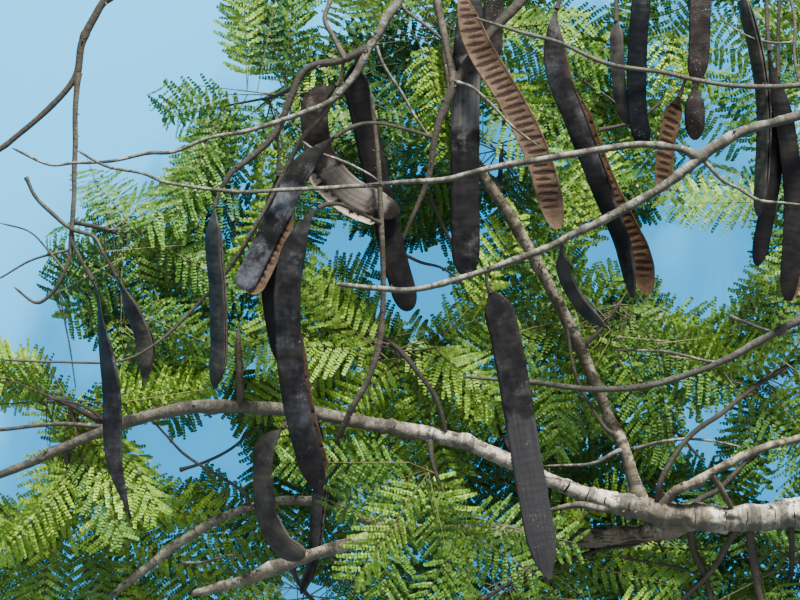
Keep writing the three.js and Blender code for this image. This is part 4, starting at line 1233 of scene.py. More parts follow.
PODS: dict[str, PodPlan] = {
    "pod_front_long": PodPlan((
        (486, 273, 352), (488, 286, 351), (497, 305, 350), (508, 350, 350), (525, 450, 347), (543, 550, 341),
        (549, 580, 339)), 0.035, 48, shoulder=0.1, point=0.17, blunt=0.8, husk=Husk.HALF_GREY),
    "pod_open_valve": PodPlan((
        (450, -79, 250), (455, -45, 295), (463, 0, 335), (478, 45, 341), (511, 100, 341), (537, 154, 337),
        (558, 229, 328)), 0.2, 41, shoulder=0.26, form=PodForm.OPEN),
    "pod_dark_middle": PodPlan((
        (480, -84, 250), (477, -40, 276), (473, 0, 290), (467, 60, 296), (465, 170, 296), (466, 276, 293)),
        0.16, 46, point=0.09, husk=Husk.BANDED),
    "pod_top_behind": PodPlan((
        (502, -84, 250), (496, -30, 262), (493, 10, 267), (493, 60, 268)), 0.22, 34, -15, husk=Husk.SPOTTED),
    "pod_hung_left": PodPlan((
        (382, 224, 271), (358, 212, 300), (338, 204, 318), (318, 208, 330), (300, 234, 334), (288, 283, 335),
        (295, 394, 330), (319, 491, 316)), 0.18, 42, 8, shoulder=0.24, form=PodForm.GAPING,
        husk=Husk.STREAKED, gape=(0.45, 0.97, 5.5)),
    "pod_speckled": PodPlan((
        (435, 138, 314), (405, 129, 319), (376, 123, 322), (352, 127, 324), (306, 163, 325), (276, 223, 322),
        (243, 290, 317)), 0.34, 36, shoulder=0.3, point=0.07, form=PodForm.GAPING, husk=Husk.CRUSTED,
        gape=(0.5, 1.2, 12.0)),
    "pod_behind_shoot": PodPlan((
        (371, 43, 323), (359, 56, 290), (355, 76, 262), (367, 133, 244), (388, 231, 234), (409, 311, 231)),
        0.1, 41, shoulder=0.12, point=0.08, husk=Husk.PLAIN),
    "pod_twisted": PodPlan((
        (344, 59, 319), (338, 84, 312), (318, 97, 305), (315, 128, 302), (325, 164, 291), (350, 192, 265),
        (399, 214, 249)), 0.1, 44, 20, -35, form=PodForm.GAPING, husk=Husk.CURLED, lining=Lining.PALE,
        gape_side=1, gape=(0.42, 0.93, 13.0)),
    "pod_narrow_left": PodPlan((
        (222, 186, 301), (215, 205, 305), (214, 250, 307), (217, 290, 306), (218, 350, 303), (214, 389, 300)),
        0.08, 38, 48, point=0.14, blunt=0.8, form=PodForm.GAPING, husk=Husk.LIGHTENED, lining=Lining.ROSE,
        gape=(0.1, 0.9, 2.2)),
    "pod_behind_left": PodPlan((
        (277, 134, 291), (279, 155, 282), (276, 200, 275), (272, 290, 270), (285, 366, 266)), 0.15, 36, 10,
        husk=Husk.PLAIN),
    "pod_low_narrow": PodPlan((
        (316, 414, 195), (321, 436, 188), (322, 470, 166), (317, 515, 146), (313, 560, 131), (301, 594, 128)),
        0.1, 26, 20, 45, form=PodForm.GAPING, husk=Husk.LIGHTENED, lining=Lining.PALE, gape=(0.3, 0.8, 4.0)),
    "pod_low_hooked": PodPlan((
        (292, 412, 194), (284, 426, 204), (266, 446, 208), (263, 480, 206), (268, 520, 200), (285, 548, 196),
        (305, 556, 194)), 0.08, 34, 15, form=PodForm.GAPING, husk=Husk.LIGHTENED, lining=Lining.PALE,
        gape=(0.6, 1.2, 4.0)),
    "pod_left_long": PodPlan((
        (71, 240, 250), (80, 258, 262), (97, 290, 278), (101, 322, 284), (112, 395, 285), (114, 460, 281),
        (131, 519, 273)), 0.14, 38, 70, -70, shoulder=0.4, point=0.46, blunt=1.2, husk=Husk.STREAKED),
    "pod_left_short": PodPlan((
        (103, 253, 257), (113, 270, 255), (130, 305, 247), (145, 345, 241), (144, 385, 238)), 0.16, 30, 60,
        -60, shoulder=0.35, point=0.4, blunt=1.0, form=PodForm.GAPING, husk=Husk.LIGHTENED,
        lining=Lining.RUST, gape=(0.5, 0.95, 2.5)),
    "pod_split": PodPlan((
        (571, -87, 250), (566, -20, 296), (554, 22, 320), (558, 75, 325), (576, 122, 325), (603, 194, 323),
        (624, 250, 318), (633, 298, 315)), 0.24, 34, -10, 75, form=PodForm.GAPING, husk=Husk.STREAKED,
        gape=(0.05, 0.7, 3.0)),
    "pod_blue_black": PodPlan((
        (644, -87, 250), (643, -40, 292), (641, 0, 322), (637, 60, 327), (638, 115, 326), (644, 145, 324)),
        0.3, 31, 10, point=0.08, husk=Husk.BLUE),
    "pod_blue_behind": PodPlan((
        (614, -88, 250), (616, -20, 286), (617, 50, 300), (620, 90, 302), (628, 124, 301)), 0.5, 24, 35,
        husk=Husk.LIGHTENED),
    "pod_small_open": PodPlan((
        (686, 78, 339), (680, 94, 330), (672, 118, 325), (665, 155, 321), (663, 192, 317)), 0.14, 28,
        form=PodForm.OPEN, lining=Lining.RUST),
    "pod_necked": PodPlan((
        (700, -86, 250), (700, -40, 278), (700, 0, 292), (699, 50, 298), (695, 92, 299), (695, 140, 298)),
        0.22, 34, neck=0.71, husk=Husk.SPOTTED),
    "pod_right_edge_on": PodPlan((
        (736, -83, 250), (740, -30, 276), (745, 5, 290), (755, 50, 297), (763, 100, 300), (762, 170, 303),
        (758, 216, 303)), 0.2, 34, 66, form=PodForm.GAPING, husk=Husk.LIGHTENED, gape=(0.1, 0.9, 3.0)),
    "pod_right_short": PodPlan((
        (779, -76, 250), (780, -20, 262), (778, 50, 268), (779, 110, 271), (774, 170, 271), (757, 266, 268)),
        0.42, 27, shoulder=0.3, husk=Husk.PLAIN),
    "pod_right_long": PodPlan((
        (763, -79, 250), (766, -20, 276), (770, 60, 289), (786, 130, 291), (794, 210, 289), (788, 301, 284)),
        0.32, 31, 8, shoulder=0.3, form=PodForm.GAPING, husk=Husk.PLAIN, lining=Lining.RUST,
        gape=(0.6, 1.2, 4.5)),
    "pod_small_behind": PodPlan((
        (562, 240, 353), (562, 254, 331), (566, 277, 318), (585, 310, 312), (605, 327, 308)), 0.12, 27, 42,
        point=0.3, blunt=0.8, husk=Husk.LIGHTENED),
}

SPLIT_VALVE = PodPlan((
    (562, 2, 308), (564, 60, 305), (580, 115, 305), (604, 180, 303), (624, 222, 301), (639, 252, 299),
    (648, 295, 296)), 0.24, 36, -10, 20, form=PodForm.OPEN, lining=Lining.RUST)


@dataclass
class Stations:
    """Where the sections of a pod or stalk lie, how far along, how far past the stalk, and how large."""

    centre: Array
    side: Array
    face: Array
    run: Array
    past: Array | None = None
    half: Array | None = None
    swell: Array | None = None


@dataclass
class Pod:
    """A flat woody pod: a stalk, a husk of one or two valves, rims along both edges, and seed hollows.

    Its slots are the places of its husk, lining and stalk among the materials of the piece.
    """

    plan: PodPlan
    slots: tuple[int, ...] = (0, 1, 2)
    depth: float = 11.0 * MM
    shell: float = 1.9 * MM
    stalk_radius: float = 2.6 * MM
    seed_pitch: float = 11.5 * MM
    step: float = 3.0 * MM
    neck_share: float = 0.12
    neck_depth: float = 0.7
    seed_rise: float = 0.00028
    pit_depth: float = 0.9 * MM
    pit_back: float = 0.3 * MM
    valve_rise: float = 0.0008
    valve_bow: float = 0.0034
    warp: float = 0.0022

    def outline(self, past: Array) -> Array:
        """How wide the pod is along its length.

        Args:
            past: Shares of the length past the stalk.

        Returns:
            Shares of the full width.
        """
        plan = self.plan
        towards_point = np.maximum(0, (past - 1 + plan.point) / plan.point)
        waist = self.neck_depth * np.exp(-3 * ((past - plan.neck) / self.neck_share) ** 2) if plan.neck else 0
        return ease(past / plan.shoulder) * (1 - 0.97 * towards_point ** 2) ** plan.blunt * (1 - waist)

    def stations(self) -> Stations:
        """Where the pod's sections lie and how large they are.

        Returns:
            The stations past the stalk.
        """
        plan = self.plan
        route = Route(PICTURE.place(plan.route))
        count = int(route.length * (1 - plan.stalk) / self.step)
        shares = np.linspace(plan.stalk, 1, count)
        centre, direction, _ = route.by_length(shares)
        past = np.linspace(0, 1, count)
        side, face = level_frames(direction, np.radians(plan.roll + plan.twist * past))
        swell = self.outline(past)
        widens = 1.1 * ease(past / (0.6 * plan.shoulder))
        slim = self.stalk_radius * (0.8 + widens * ease((1 - past) / plan.point))
        half = np.maximum(slim, swell * plan.width * MM / 2)
        run = past * route.length * (1 - plan.stalk)
        waver = drift(run, 11, centre[0][0] * 40, 2.0)
        centre = centre + face * (waver * self.warp * ease(past * 4) * swell)[:, None]
        half = half * (1 + 0.035 * drift(run, 38, centre[0][1] * 40, 5.0))
        return Stations(centre, side, face, run, past, half, swell)

    def seeds(self, run: Array, past: Array) -> Array:
        """How strongly a seed shows at distances and shares along, from 0 between seeds to 1 at one."""
        wave = np.cos(2 * math.pi * run / self.seed_pitch + 0.6 * np.sin(run * 35))
        return (0.5 + 0.5 * wave) * (ease((past - 0.06) / 0.1) * ease((0.95 - past) / 0.08))

    def pits(self, s: Stations, across: Array) -> Array:
        """How deep the seed hollows are: pointed ovals that lie across the pod, each a little different.

        Args:
            s: The stations.
            across: Shares across the pod, from -1 to 1.

        Returns:
            Depths from 0 to 1, one section a row.
        """
        slant = 0.22 * s.half[:, None] * across[None]
        number = (s.run[:, None] + slant) / self.seed_pitch
        seed = np.round(number)
        aside = 0.10 * np.sin(seed * 2.4) + 0.02
        size = 1 + 0.22 * np.sin(seed * 3.7)
        lens = 1 - ((across[None] - aside) / (0.76 * size)) ** 2
        wide = 0.27 * size * np.maximum(0.0, lens) ** 0.6
        inside = ease((s.past - 0.05) / 0.08) * ease((0.95 - s.past) / 0.05)
        bowl = ease(0.5 + (wide - np.abs(number - seed)) / 0.16)
        return bowl * np.minimum(1, 9 * np.maximum(0, lens)) * inside[:, None]

    def whole(self, draft: Draft) -> None:
        """Adds the closed husk: swollen faces with seed bulges between two rims.

        Args:
            draft: Where it goes.
        """
        s = self.stations()
        turn = full_turn(26)
        x = np.cos(turn)
        crown = np.sign(np.sin(turn)) * np.abs(np.sin(turn)) ** 0.8
        rim = 1 + 0.5 * np.exp(-((np.abs(x) - 0.9) / 0.07) ** 2)
        seeds = self.seeds(s.run, s.past)[:, None] * np.exp(-(x / 0.6) ** 2)[None]
        thick = np.maximum(self.stalk_radius * 0.8, s.swell * self.depth / 2)[:, None]
        y = thick * (0.8 * crown * rim)[None] + self.seed_rise * seeds * np.sign(crown)[None]
        self.lay(draft, s, s.half[:, None] * x[None], y, self.slots[0])

    def valve(self, draft: Draft, hollow_up: bool, shift: Array) -> None:
        """Adds one valve as a thin shell, its hollow side up or down.

        Args:
            draft: Where it goes.
            hollow_up: Whether the lining faces up.
            shift: How far it stands aside at each station, in metres.
        """
        s = self.stations()
        s.centre = s.centre + s.side * shift[:, None]
        across = np.linspace(-1, 1, 25)
        if self.plan.form is PodForm.GAPING:
            across = np.sin(np.linspace(-math.pi / 2, math.pi / 2, 15))
        bow = (1 - across ** 2) ** 0.75
        sign = -1.0 if hollow_up else 1.0
        swell = np.maximum(0.25, s.swell)[:, None]
        middle = sign * (self.valve_rise + self.valve_bow * bow)[None] * swell
        rim = np.exp(-((np.abs(across) - 0.93) / 0.06) ** 2)
        thick = (self.shell / 2 * (1 + 0.7 * rim))[None] * swell
        pit = self.pits(s, across)
        lining = middle - sign * (thick - self.pit_depth * pit)
        husk = middle + sign * (thick + self.pit_back * pit)
        wide = s.half[:, None] * across[None]
        x = np.concatenate([wide, wide[:, ::-1]], axis=1)
        y = np.concatenate([husk, lining[:, ::-1]], axis=1)
        if hollow_up:
            x, y = x[:, ::-1], y[:, ::-1]
        inside = np.full((len(wide) - 1, x.shape[1]), self.slots[0])
        first = 0 if hollow_up else len(across)
        inside[:, first:first + len(across) - 1] = self.slots[1]
        none = np.zeros_like(pit)
        hollow = np.concatenate([pit, none] if hollow_up else [none, pit[:, ::-1]], axis=1)
        self.lay(draft, s, x, y, inside.ravel(), hollow)

    def lay(self, draft: Draft, s: Stations, x: Array, y: Array, slot: int | Array,
            hollow: Array | None = None) -> None:
        """Places sections of across and up values along the stations and closes both ends.

        Args:
            draft: Where they go.
            s: The stations.
            x: Distances across, one section a row.
            y: Distances up, one section a row.
            slot: The material of each face.
            hollow: How far each point lies in a seed hollow.
        """
        rings = s.centre[:, None] + s.side[:, None] * x[..., None] + s.face[:, None] * y[..., None]
        uv = np.stack(np.broadcast_arrays(x, s.run[:, None]), axis=2)
        around = rings.shape[1]
        draft.add(rings, loft(rings), slot, uv, hollow)
        draft.add(rings[0], np.arange(around)[None, ::-1], self.slots[0], uv[0])
        draft.add(rings[-1], np.arange(around)[None], self.slots[0], uv[-1])

    def stalk(self, draft: Draft) -> None:
        """Adds the round stalk, which thickens into the pod and into its carrier.

        Args:
            draft: Where it goes.
        """
        route = Route(PICTURE.place(self.plan.route))
        count = max(10, int(route.length * self.plan.stalk / (3 * MM)))
        shares = np.linspace(0, self.plan.stalk + 0.03, count)
        centre, direction, _ = route.by_length(shares)
        side, face = level_frames(direction, np.radians(np.full(count, self.plan.roll)))
        turn = full_turn(14)
        share = shares / shares[-1]
        ends = 1 + 0.5 * np.exp(-(share / 0.12) ** 2) + 0.5 * ease(share * 2 - 1)
        ripple = np.array([[noise.noise(Vector((c[0] * 90, c[1] * 90, a))) for a in turn] for c in centre])
        radius = self.stalk_radius * ends[:, None] * (1 + 0.18 * ripple)
        self.lay(draft, Stations(centre, side, face, shares * route.length),
                 radius * np.cos(turn)[None], radius * np.sin(turn)[None], self.slots[2])

    def add_to(self, draft: Draft) -> None:
        """Adds the husk or its valves, and the stalk.

        Args:
            draft: Where they go.
        """
        plan = self.plan
        if plan.form is PodForm.WHOLE:
            self.whole(draft)
        else:
            past = self.stations().past
            start, end, gap = plan.gape
            open_by = ease((past - start) / 0.12) * ease((end - past) / 0.06) * gap * MM * plan.gape_side
            self.valve(draft, True, open_by if plan.form is PodForm.GAPING else 0 * open_by)
            if plan.form is PodForm.GAPING:
                self.valve(draft, False, -0.2 * open_by)
        if plan is not SPLIT_VALVE:
            self.stalk(draft)


@dataclass
class Fruit:
    """All the pods, joined into one piece for each form."""

    open_step: float = 1.7 * MM
    choices: list[Enum] = field(default_factory=list)

    def slots(self, plan: PodPlan) -> tuple[int, ...]:
        """The places of a pod's finishes among the piece's, with new ones put last.

        Args:
            plan: The pod.

        Returns:
            The places of its husk, lining and stalk.
        """
        wanted = (plan.husk, plan.lining, Bark.DARK)
        self.choices += [choice for choice in wanted if choice not in self.choices]
        return tuple(self.choices.index(choice) for choice in wanted)

    def build(self, form: PodForm) -> None:
        """Builds and dresses the pods of one form.

        Args:
            form: The form.
        """
        self.choices = []
        draft = Draft()
        names = [name for name, plan in PODS.items() if plan.form is form]
        plans = [PODS[name] for name in names] + ([SPLIT_VALVE] if form is SPLIT_VALVE.form else [])
        for plan in plans:
            pod = Pod(plan, self.slots(plan))
            if form is PodForm.OPEN:
                pod.step = self.open_step
            pod.add_to(draft)
        piece = draft.finish(f"{form.value}_pods", finishes_of(self.choices))
        settle(piece, tuple(names))


@dataclass(frozen=True)
class MassPlan:
    """A mass of leaves: its stem, its reach from the stem's end, its heights, and its greens.

    It has up to a number of leaves. Where it may cover limbs, so many of a leaf's test points may lie
    over them. A new leaf is only put where fewer than so many layers of leaves are seen.
    """

    stem: tuple[Station, ...]
    reach: float
    heights: tuple[float, float]
    seed: int
    greens: tuple[Green, ...]
    fronds: int = 46
    may_cover: int = 0
    layers: float = 5.2


# Painted light and shade: DARK holds the darkest greens, for the low beds and leaves in shade; SHADY is for
# leaves in shade; SUNNY and BRIGHT hold lighter greens for sunlit leaves. Each also varies the tone at
# random.
DARK = (Green.DEEP, Green.BLUISH, Green.MID, Green.DEEP, Green.MID)
SHADY = (Green.MID, Green.DEEP, Green.MID, Green.BLUISH, Green.FRESH)
MIXED = (Green.MID, Green.DEEP, Green.FRESH, Green.MID, Green.DEEP, Green.SUN, Green.MID)
SUNNY = (Green.FRESH, Green.SUN, Green.FRESH, Green.SUN, Green.MID)
BRIGHT = (Green.FRESH, Green.SUN, Green.MID, Green.DEEP, Green.FRESH, Green.MID)

MASSES: dict[str, MassPlan] = {
    "leaves_top_left": MassPlan((
        (297, 85, 301, 9), (284, 92, 240, 8), (262, 100, 150, 7)), 325, (1, 262), 101, SHADY),
    "leaves_top_middle": MassPlan((
        (446, 64, 184, 9), (443, 42, 178, 8), (438, 12, 168, 7)), 345, (96, 232), 102, MIXED),
    "leaves_top_right": MassPlan((
        (700, -86, 250, 10), (694, -40, 210, 9), (690, 10, 150, 7)), 335, (1, 236), 103, MIXED),
    "leaves_right_high": MassPlan((
        (932, 200, 236, 11), (890, 196, 190, 9), (846, 184, 130, 7)), 325, (1, 222), 104, MIXED),
    "leaves_left_high": MassPlan((
        (73, 222, 249, 7), (92, 226, 215, 7), (128, 236, 140, 6)), 280, (1, 226), 205, DARK),
    "leaves_left": MassPlan((
        (111, 428, 173, 10), (84, 412, 158, 8), (40, 392, 126, 7)), 305, (60, 205), 106, SUNNY),
    "leaves_middle": MassPlan((
        (447, 441, 198, 9), (436, 398, 217, 8), (415, 369, 222, 8), (395, 346, 212, 7), (350, 318, 160, 6)),
        355, (96, 222), 107, BRIGHT),
    "leaves_right_middle": MassPlan((
        (580, 348, 188, 10), (600, 330, 160, 8), (622, 300, 140, 7)), 345, (96, 214), 108, MIXED),
    "leaves_right": MassPlan((
        (657, 505, 208, 10), (660, 484, 226, 10), (672, 460, 228, 9), (692, 434, 226, 9), (722, 413, 218, 8),
        (756, 386, 200, 8), (796, 360, 150, 7)), 335, (1, 214), 109, MIXED),
    "leaves_low_left": MassPlan((
        (66, 447, 155, 10), (68, 490, 128, 8), (66, 530, 92, 7)), 335, (1, 140), 110, MIXED),
    "leaves_low_middle": MassPlan((
        (430, 437, 199, 9), (432, 458, 222, 8), (440, 486, 226, 7)), 330, (150, 268), 212, MIXED, 10, 6, 5.0),
    "leaves_bottom": MassPlan((
        (520, 536, 167, 10), (524, 566, 158, 8), (528, 602, 140, 7)), 335, (96, 210), 112, MIXED),
    "leaves_bottom_right": MassPlan((
        (790, 515, 190, 11), (792, 552, 160, 9), (790, 588, 120, 7)), 345, (1, 222), 113, DARK),
    "bed_top": MassPlan(((497, 200, 184, 9), (500, 176, 120, 8), (502, 140, 52, 7)), 375, (1, 90), 114, DARK),
    "bed_left": MassPlan((
        (238, 408, 192, 13), (238, 380, 150, 11), (236, 350, 60, 8)), 375, (1, 90), 115, DARK),
    "bed_middle": MassPlan((
        (520, 465, 202, 10), (500, 430, 130, 8), (470, 390, 55, 7)), 375, (1, 90), 116, DARK),
    "bed_low": MassPlan((
        (290, 563, 154, 10), (300, 585, 105, 8), (318, 606, 52, 7)), 375, (1, 90), 117, DARK),
    "bed_low_right": MassPlan((
        (590, 538, 169, 10), (596, 566, 110, 8), (604, 596, 52, 7)), 365, (1, 90), 118, DARK),
}

LEAF_PIECES: dict[str, tuple[str, ...]] = {
    "upper_left_leaves": ("leaves_top_left", "leaves_top_middle", "leaves_left_high"),
    "upper_right_leaves": ("leaves_top_right", "leaves_right_high", "leaves_right_middle"),
    "middle_leaves": ("leaves_middle", "leaves_low_middle", "bed_middle", "bed_top"),
    "left_leaves": ("leaves_left", "leaves_low_left", "bed_left", "bed_low"),
    "lower_right_leaves": ("leaves_right", "leaves_bottom", "leaves_bottom_right", "bed_low_right"),
}

# Openings of sky in the picture, each as its left, top, right and bottom edge.
SKY: tuple[tuple[float, float, float, float], ...] = (
    (-200, -200, 205, 70), (-200, 70, 160, 150), (205, 48, 272, 70), (-200, 150, 72, 205),
    (100, 140, 196, 172), (-200, 205, 50, 338), (302, 226, 372, 260), (398, 242, 448, 300),
    (352, 300, 470, 322), (476, 204, 498, 248), (502, 48, 545, 82), (404, 50, 446, 74), (574, 226, 624, 274),
    (644, 204, 690, 240), (650, 240, 762, 288), (676, 288, 718, 328), (62, 322, 98, 398),
    (255, 342, 276, 395), (-200, 412, 44, 500), (128, 398, 148, 450), (150, 428, 245, 478),
    (680, 408, 724, 462),
)


@dataclass
class ClearSpace:
    """Keeps fronds off the limbs and pods, out from over them, and out of the open sky."""

    margin: float = 5.0 * MM
    sky_share: float = 0.14
    sample_step: float = 9.0 * MM
    look_round: float = 20.0
    patch: float = 14.0
    layers: dict[tuple[int, int], int] = field(default_factory=dict)
    spots: list[Array] = field(default_factory=list)
    radii: list[Array] = field(default_factory=list)

    def add_limb(self, plan: LimbPlan) -> None:
        """Takes up a limb's space.

        Args:
            plan: The limb.
        """
        route = Route(PICTURE.place(plan.route))
        points, _, own = route.by_length(np.linspace(0, 1, max(4, int(route.length / self.sample_step))))
        self.spots.append(points)
        self.radii.append(plan.radii(route, own))

    def add_pod(self, plan: PodPlan) -> None:
        """Takes up a pod's space.

        Args:
            plan: The pod.
        """
        s = Pod(plan, step=self.sample_step).stations()
        for share in (-0.65, 0.0, 0.65):
            self.spots.append(s.centre + s.side * (s.half * share)[:, None])
            self.radii.append(np.maximum(4 * MM, s.half * 0.4))

    def ready(self) -> None:
        """Sorts the taken space for quick questions."""
        spots, self.size = np.concatenate(self.spots), np.concatenate(self.radii)
        self.heights = spots[:, 2]
        self.reach = float(self.size.max()) + self.margin
        self.near = self.tree(spots)
        seen = PICTURE.seen_at(spots)
        self.over = self.tree(np.column_stack([seen, np.zeros(len(seen))]))

    @staticmethod
    def tree(spots: Array) -> kdtree.KDTree:
        """A search tree of some points.

        Args:
            spots: One point a row.

        Returns:
            The tree, ready for questions.
        """
        tree = kdtree.KDTree(len(spots))
        for i, spot in enumerate(spots):
            tree.insert(spot, i)
        tree.balance()
        return tree

    def patches(self, points: Array) -> set[tuple[int, int]]:
        """The small squares of the picture that points fall in."""
        return {(int(c // self.patch), int(r // self.patch)) for c, r in PICTURE.seen_at(points)}

    def crowding(self, points: Array) -> float:
        """How many leaves already lie, on average, where these points are seen."""
        patches = self.patches(points)
        return sum(self.layers.get(patch, 0) for patch in patches) / len(patches)

    def cover(self, points: Array) -> None:
        """Counts a leaf as lying where these points are seen."""
        for patch in self.patches(points):
            self.layers[patch] = self.layers.get(patch, 0) + 1

    def allows(self, points: Array, may_cover: int) -> bool:
        """Whether a frond with these sample points may stand.

        Args:
            points: Points on its rib and at its lobes' ends.
            may_cover: How many of them may lie over a limb or pod.

        Returns:
            True if it may.
        """
        seen = PICTURE.seen_at(points)
        in_sky = sum(any(left < c < right and top < r < bottom for left, top, right, bottom in SKY)
                     for c, r in seen)
        if in_sky > self.sky_share * len(points):
            return False
        covered = 0
        for point, spot in zip(points, seen):
            for _, i, far in self.near.find_range(point, self.reach):
                if far < self.size[i] + self.margin:
                    return False
            for _, i, far in self.over.find_range((*spot, 0.0), self.look_round):
                if self.heights[i] < point[2] and far * PICTURE.mm_per_pixel * MM < self.size[i]:
                    covered += 1
                    break
        return covered <= may_cover


@dataclass
class Frond:
    """A twice-divided leaf: an arching rib, paired side ribs, and rows of small leaflets on each."""

    root: Array
    heading: float
    pitch: float
    droop: float
    roll: float
    length: float
    width: float
    fold: float
    bare: float = 0.12
    pair_gap: float = 13.4 * MM
    leaflet_gap: float = 4.7 * MM
    leaflet: float = 5.1 * MM
    leaflet_width: float = 5.5 * MM
    rib_radius: float = 0.95 * MM
    side_rib_half: float = 0.36 * MM

    def bend(self, local: Array) -> Array:
        """Carries points from the flat leaf to where it arches.

        Args:
            local: Along, across and up values.

        Returns:
            The same points in the bough's own frame.
        """
        forward = np.array([math.cos(self.heading), math.sin(self.heading), 0.0])
        leave = forward * math.cos(self.pitch) + UP * math.sin(self.pitch)
        arrive = forward * math.cos(self.pitch - self.droop) + UP * math.sin(self.pitch - self.droop)
        middle = self.root + leave * self.length / 2
        tip = middle + arrive * self.length / 2
        t = np.clip(local[:, :1] / self.length, 0, 1.15)
        spot = (1 - t) ** 2 * self.root + 2 * t * (1 - t) * middle + t ** 2 * tip
        direction = unit((1 - t) * (middle - self.root) + t * (tip - middle))
        level = np.cross(UP, forward)[None]
        rise = np.cross(direction, level)
        side = level * math.cos(self.roll) + rise * math.sin(self.roll)
        return spot + side * local[:, 1:2] + np.cross(direction, side) * local[:, 2:3]

    def half_width(self, along: Array) -> Array:
        """How far the side ribs reach at a share of the leafy length."""
        return self.width / 2 * np.sqrt(np.sin(math.pi * (0.13 + 0.76 * along)))

    def samples(self) -> Array:
        """Points on the rib and at the side ribs' ends, to test the leaf's space with.

        Returns:
            One point a row.
        """
        t = np.linspace(0.25, 1.0, 6)
        along = (t - self.bare) / (1 - self.bare)
        wide = self.half_width(along)
        rows = []
        for s in (0.0, 1.0, -1.0, 0.5, -0.5):
            ahead, down = 0.4 * wide * abs(s), -self.fold * wide * abs(s)
            rows.append(np.stack([t * self.length + ahead, s * wide, down], axis=1))
        return self.bend(np.concatenate(rows))

    def add_to(self, draft: Draft, slot: int, stalk_slot: int, rng: np.random.Generator) -> None:
        """Adds the leaf's rib, side ribs and leaflets.

        Args:
            draft: Where they go.
            slot: The leaflets' material.
            stalk_slot: The ribs' material.
            rng: The source of small differences.
        """
        pairs = max(6, int(self.length * (1 - self.bare) / self.pair_gap))
        along = (np.arange(pairs) + 0.5) / pairs
        along = np.repeat(along, 2)
        hand = np.tile([1.0, -1.0], pairs)
        start = self.length * (self.bare + (1 - self.bare) * along) + rng.normal(0, 1 * MM, len(along))
        reach = self.half_width(along) * rng.uniform(0.88, 1.08, len(along)) * 1.08
        angle = np.radians(66 - 24 * along + rng.normal(0, 5, len(along)))
        sag = self.fold + rng.normal(0.06, 0.09, len(along))
        tilt = rng.normal(0, 0.28, len(along))
        self.ribs(draft, stalk_slot, start, hand, reach, angle, sag)
        most = int(reach.max() / self.leaflet_gap)
        step = (np.arange(most) + 0.8) * self.leaflet_gap
        run = np.broadcast_to(step[None], (len(along), most))
        keep = run < (reach[:, None] + 0.5 * MM)
        share = run / reach[:, None]
        pinna = np.broadcast_to(np.arange(len(along))[:, None], run.shape)[keep]
        run, share = run[keep], share[keep]
        pinna, run, share = (np.repeat(a, 2) for a in (pinna, run, share))
        flank = np.tile([1.0, -1.0], len(run) // 2)
        a, h, z = angle[pinna], hand[pinna], -sag[pinna] * run
        base = np.stack([start[pinna] + run * np.cos(a), h * run * np.sin(a), z], axis=1)
        lean = np.radians(64 - 18 * share + rng.normal(0, 5, len(run)))
        way = a + flank * lean
        full = 0.68 + 0.4 * np.sin(math.pi * np.clip(share, 0, 1) ** 0.8)
        size = self.leaflet * full * rng.uniform(0.85, 1.12, len(run))
        lift = flank * tilt[pinna] + rng.normal(-0.05, 0.14, len(run))
        out = unit(np.stack([np.cos(way), h * np.sin(way), lift], axis=1))
        over = np.stack([-np.sin(way), h * np.cos(way), rng.normal(0.0, 0.3, len(run))], axis=1)
        half = over * (self.leaflet_width / 2)
        corners = ((0.0, -0.4), (0.12, 1.0), (1.0, 0.45), (0.86, -1.0))
        quads = np.stack([base + out * (size * far)[:, None] + half * wide for far, wide in corners], axis=1)
        faces = np.arange(len(quads) * 4).reshape(-1, 4)
        draft.add(self.bend(quads.reshape(-1, 3)), faces, slot)

    def ribs(self, draft: Draft, slot: int, start: Array, hand: Array, reach: Array, angle: Array,
             sag: Array) -> None:
        """Adds the three-sided rib and the flat side ribs.

        Args:
            draft: Where they go.
            slot: Their material.
            start: How far along the rib each side rib starts.
            hand: Its side, 1 or -1.
            reach: Its length.
            angle: Its angle from the rib.
            sag: How steeply it hangs.
        """
        t = np.linspace(0, 0.985, 9) * self.length
        radius = self.rib_radius * (1 - 0.65 * t / self.length)
        turn = np.radians([90, 210, 330])
        sides = [np.stack([t, radius * math.cos(a), radius * math.sin(a)], axis=1) for a in turn]
        rings = np.stack(sides, axis=1)
        draft.add(self.bend(rings.reshape(-1, 3)), loft(rings), slot)
        way = np.stack([np.cos(angle), hand * np.sin(angle), -sag], axis=1)
        over = np.stack([-np.sin(angle), hand * np.cos(angle), 0 * angle], axis=1) * self.side_rib_half
        root = np.stack([start, 0 * start, 0 * start], axis=1)
        end = root + way * reach[:, None]
        quads = np.stack([root - over, root + over, end + over * 0.5, end - over * 0.5], axis=1)
        draft.add(self.bend(quads.reshape(-1, 3)), np.arange(len(quads) * 4).reshape(-1, 4), slot)


@dataclass
class Twig:
    """A short shoot inside a mass, with the leaves of one spray on it."""

    start: Array
    end: Array
    heading: float
    radius: float = 1.4 * MM

    def points(self, count: int = 8) -> Array:
        """Points along its gentle arch.

        Args:
            count: How many.

        Returns:
            One point a row.
        """
        t = np.linspace(0, 1, count)[:, None]
        middle = (self.start + self.end) / 2 + UP * np.linalg.norm(self.end - self.start) * 0.06
        return (1 - t) ** 2 * self.start + 2 * t * (1 - t) * middle + t ** 2 * self.end

    def add_to(self, draft: Draft, slot: int) -> None:
        """Adds the twig as a tapering tube.

        Args:
            draft: Where it goes.
            slot: Its material.
        """
        points = self.points()
        side, face = Limb.carried_frames(unit(np.gradient(points, axis=0)))
        turn = full_turn(7)
        radius = self.radius * np.linspace(1.0, 0.45, len(points))
        rings = points[:, None] + around_line(side, face, turn) * radius[:, None, None]
        uv = np.zeros((len(points), len(turn), 2))
        uv[..., 0] = turn * self.radius
        uv[..., 1] = np.linspace(0, 0.1, len(points))[:, None]
        draft.add(rings, loft(rings)[:, ::-1], slot, uv)


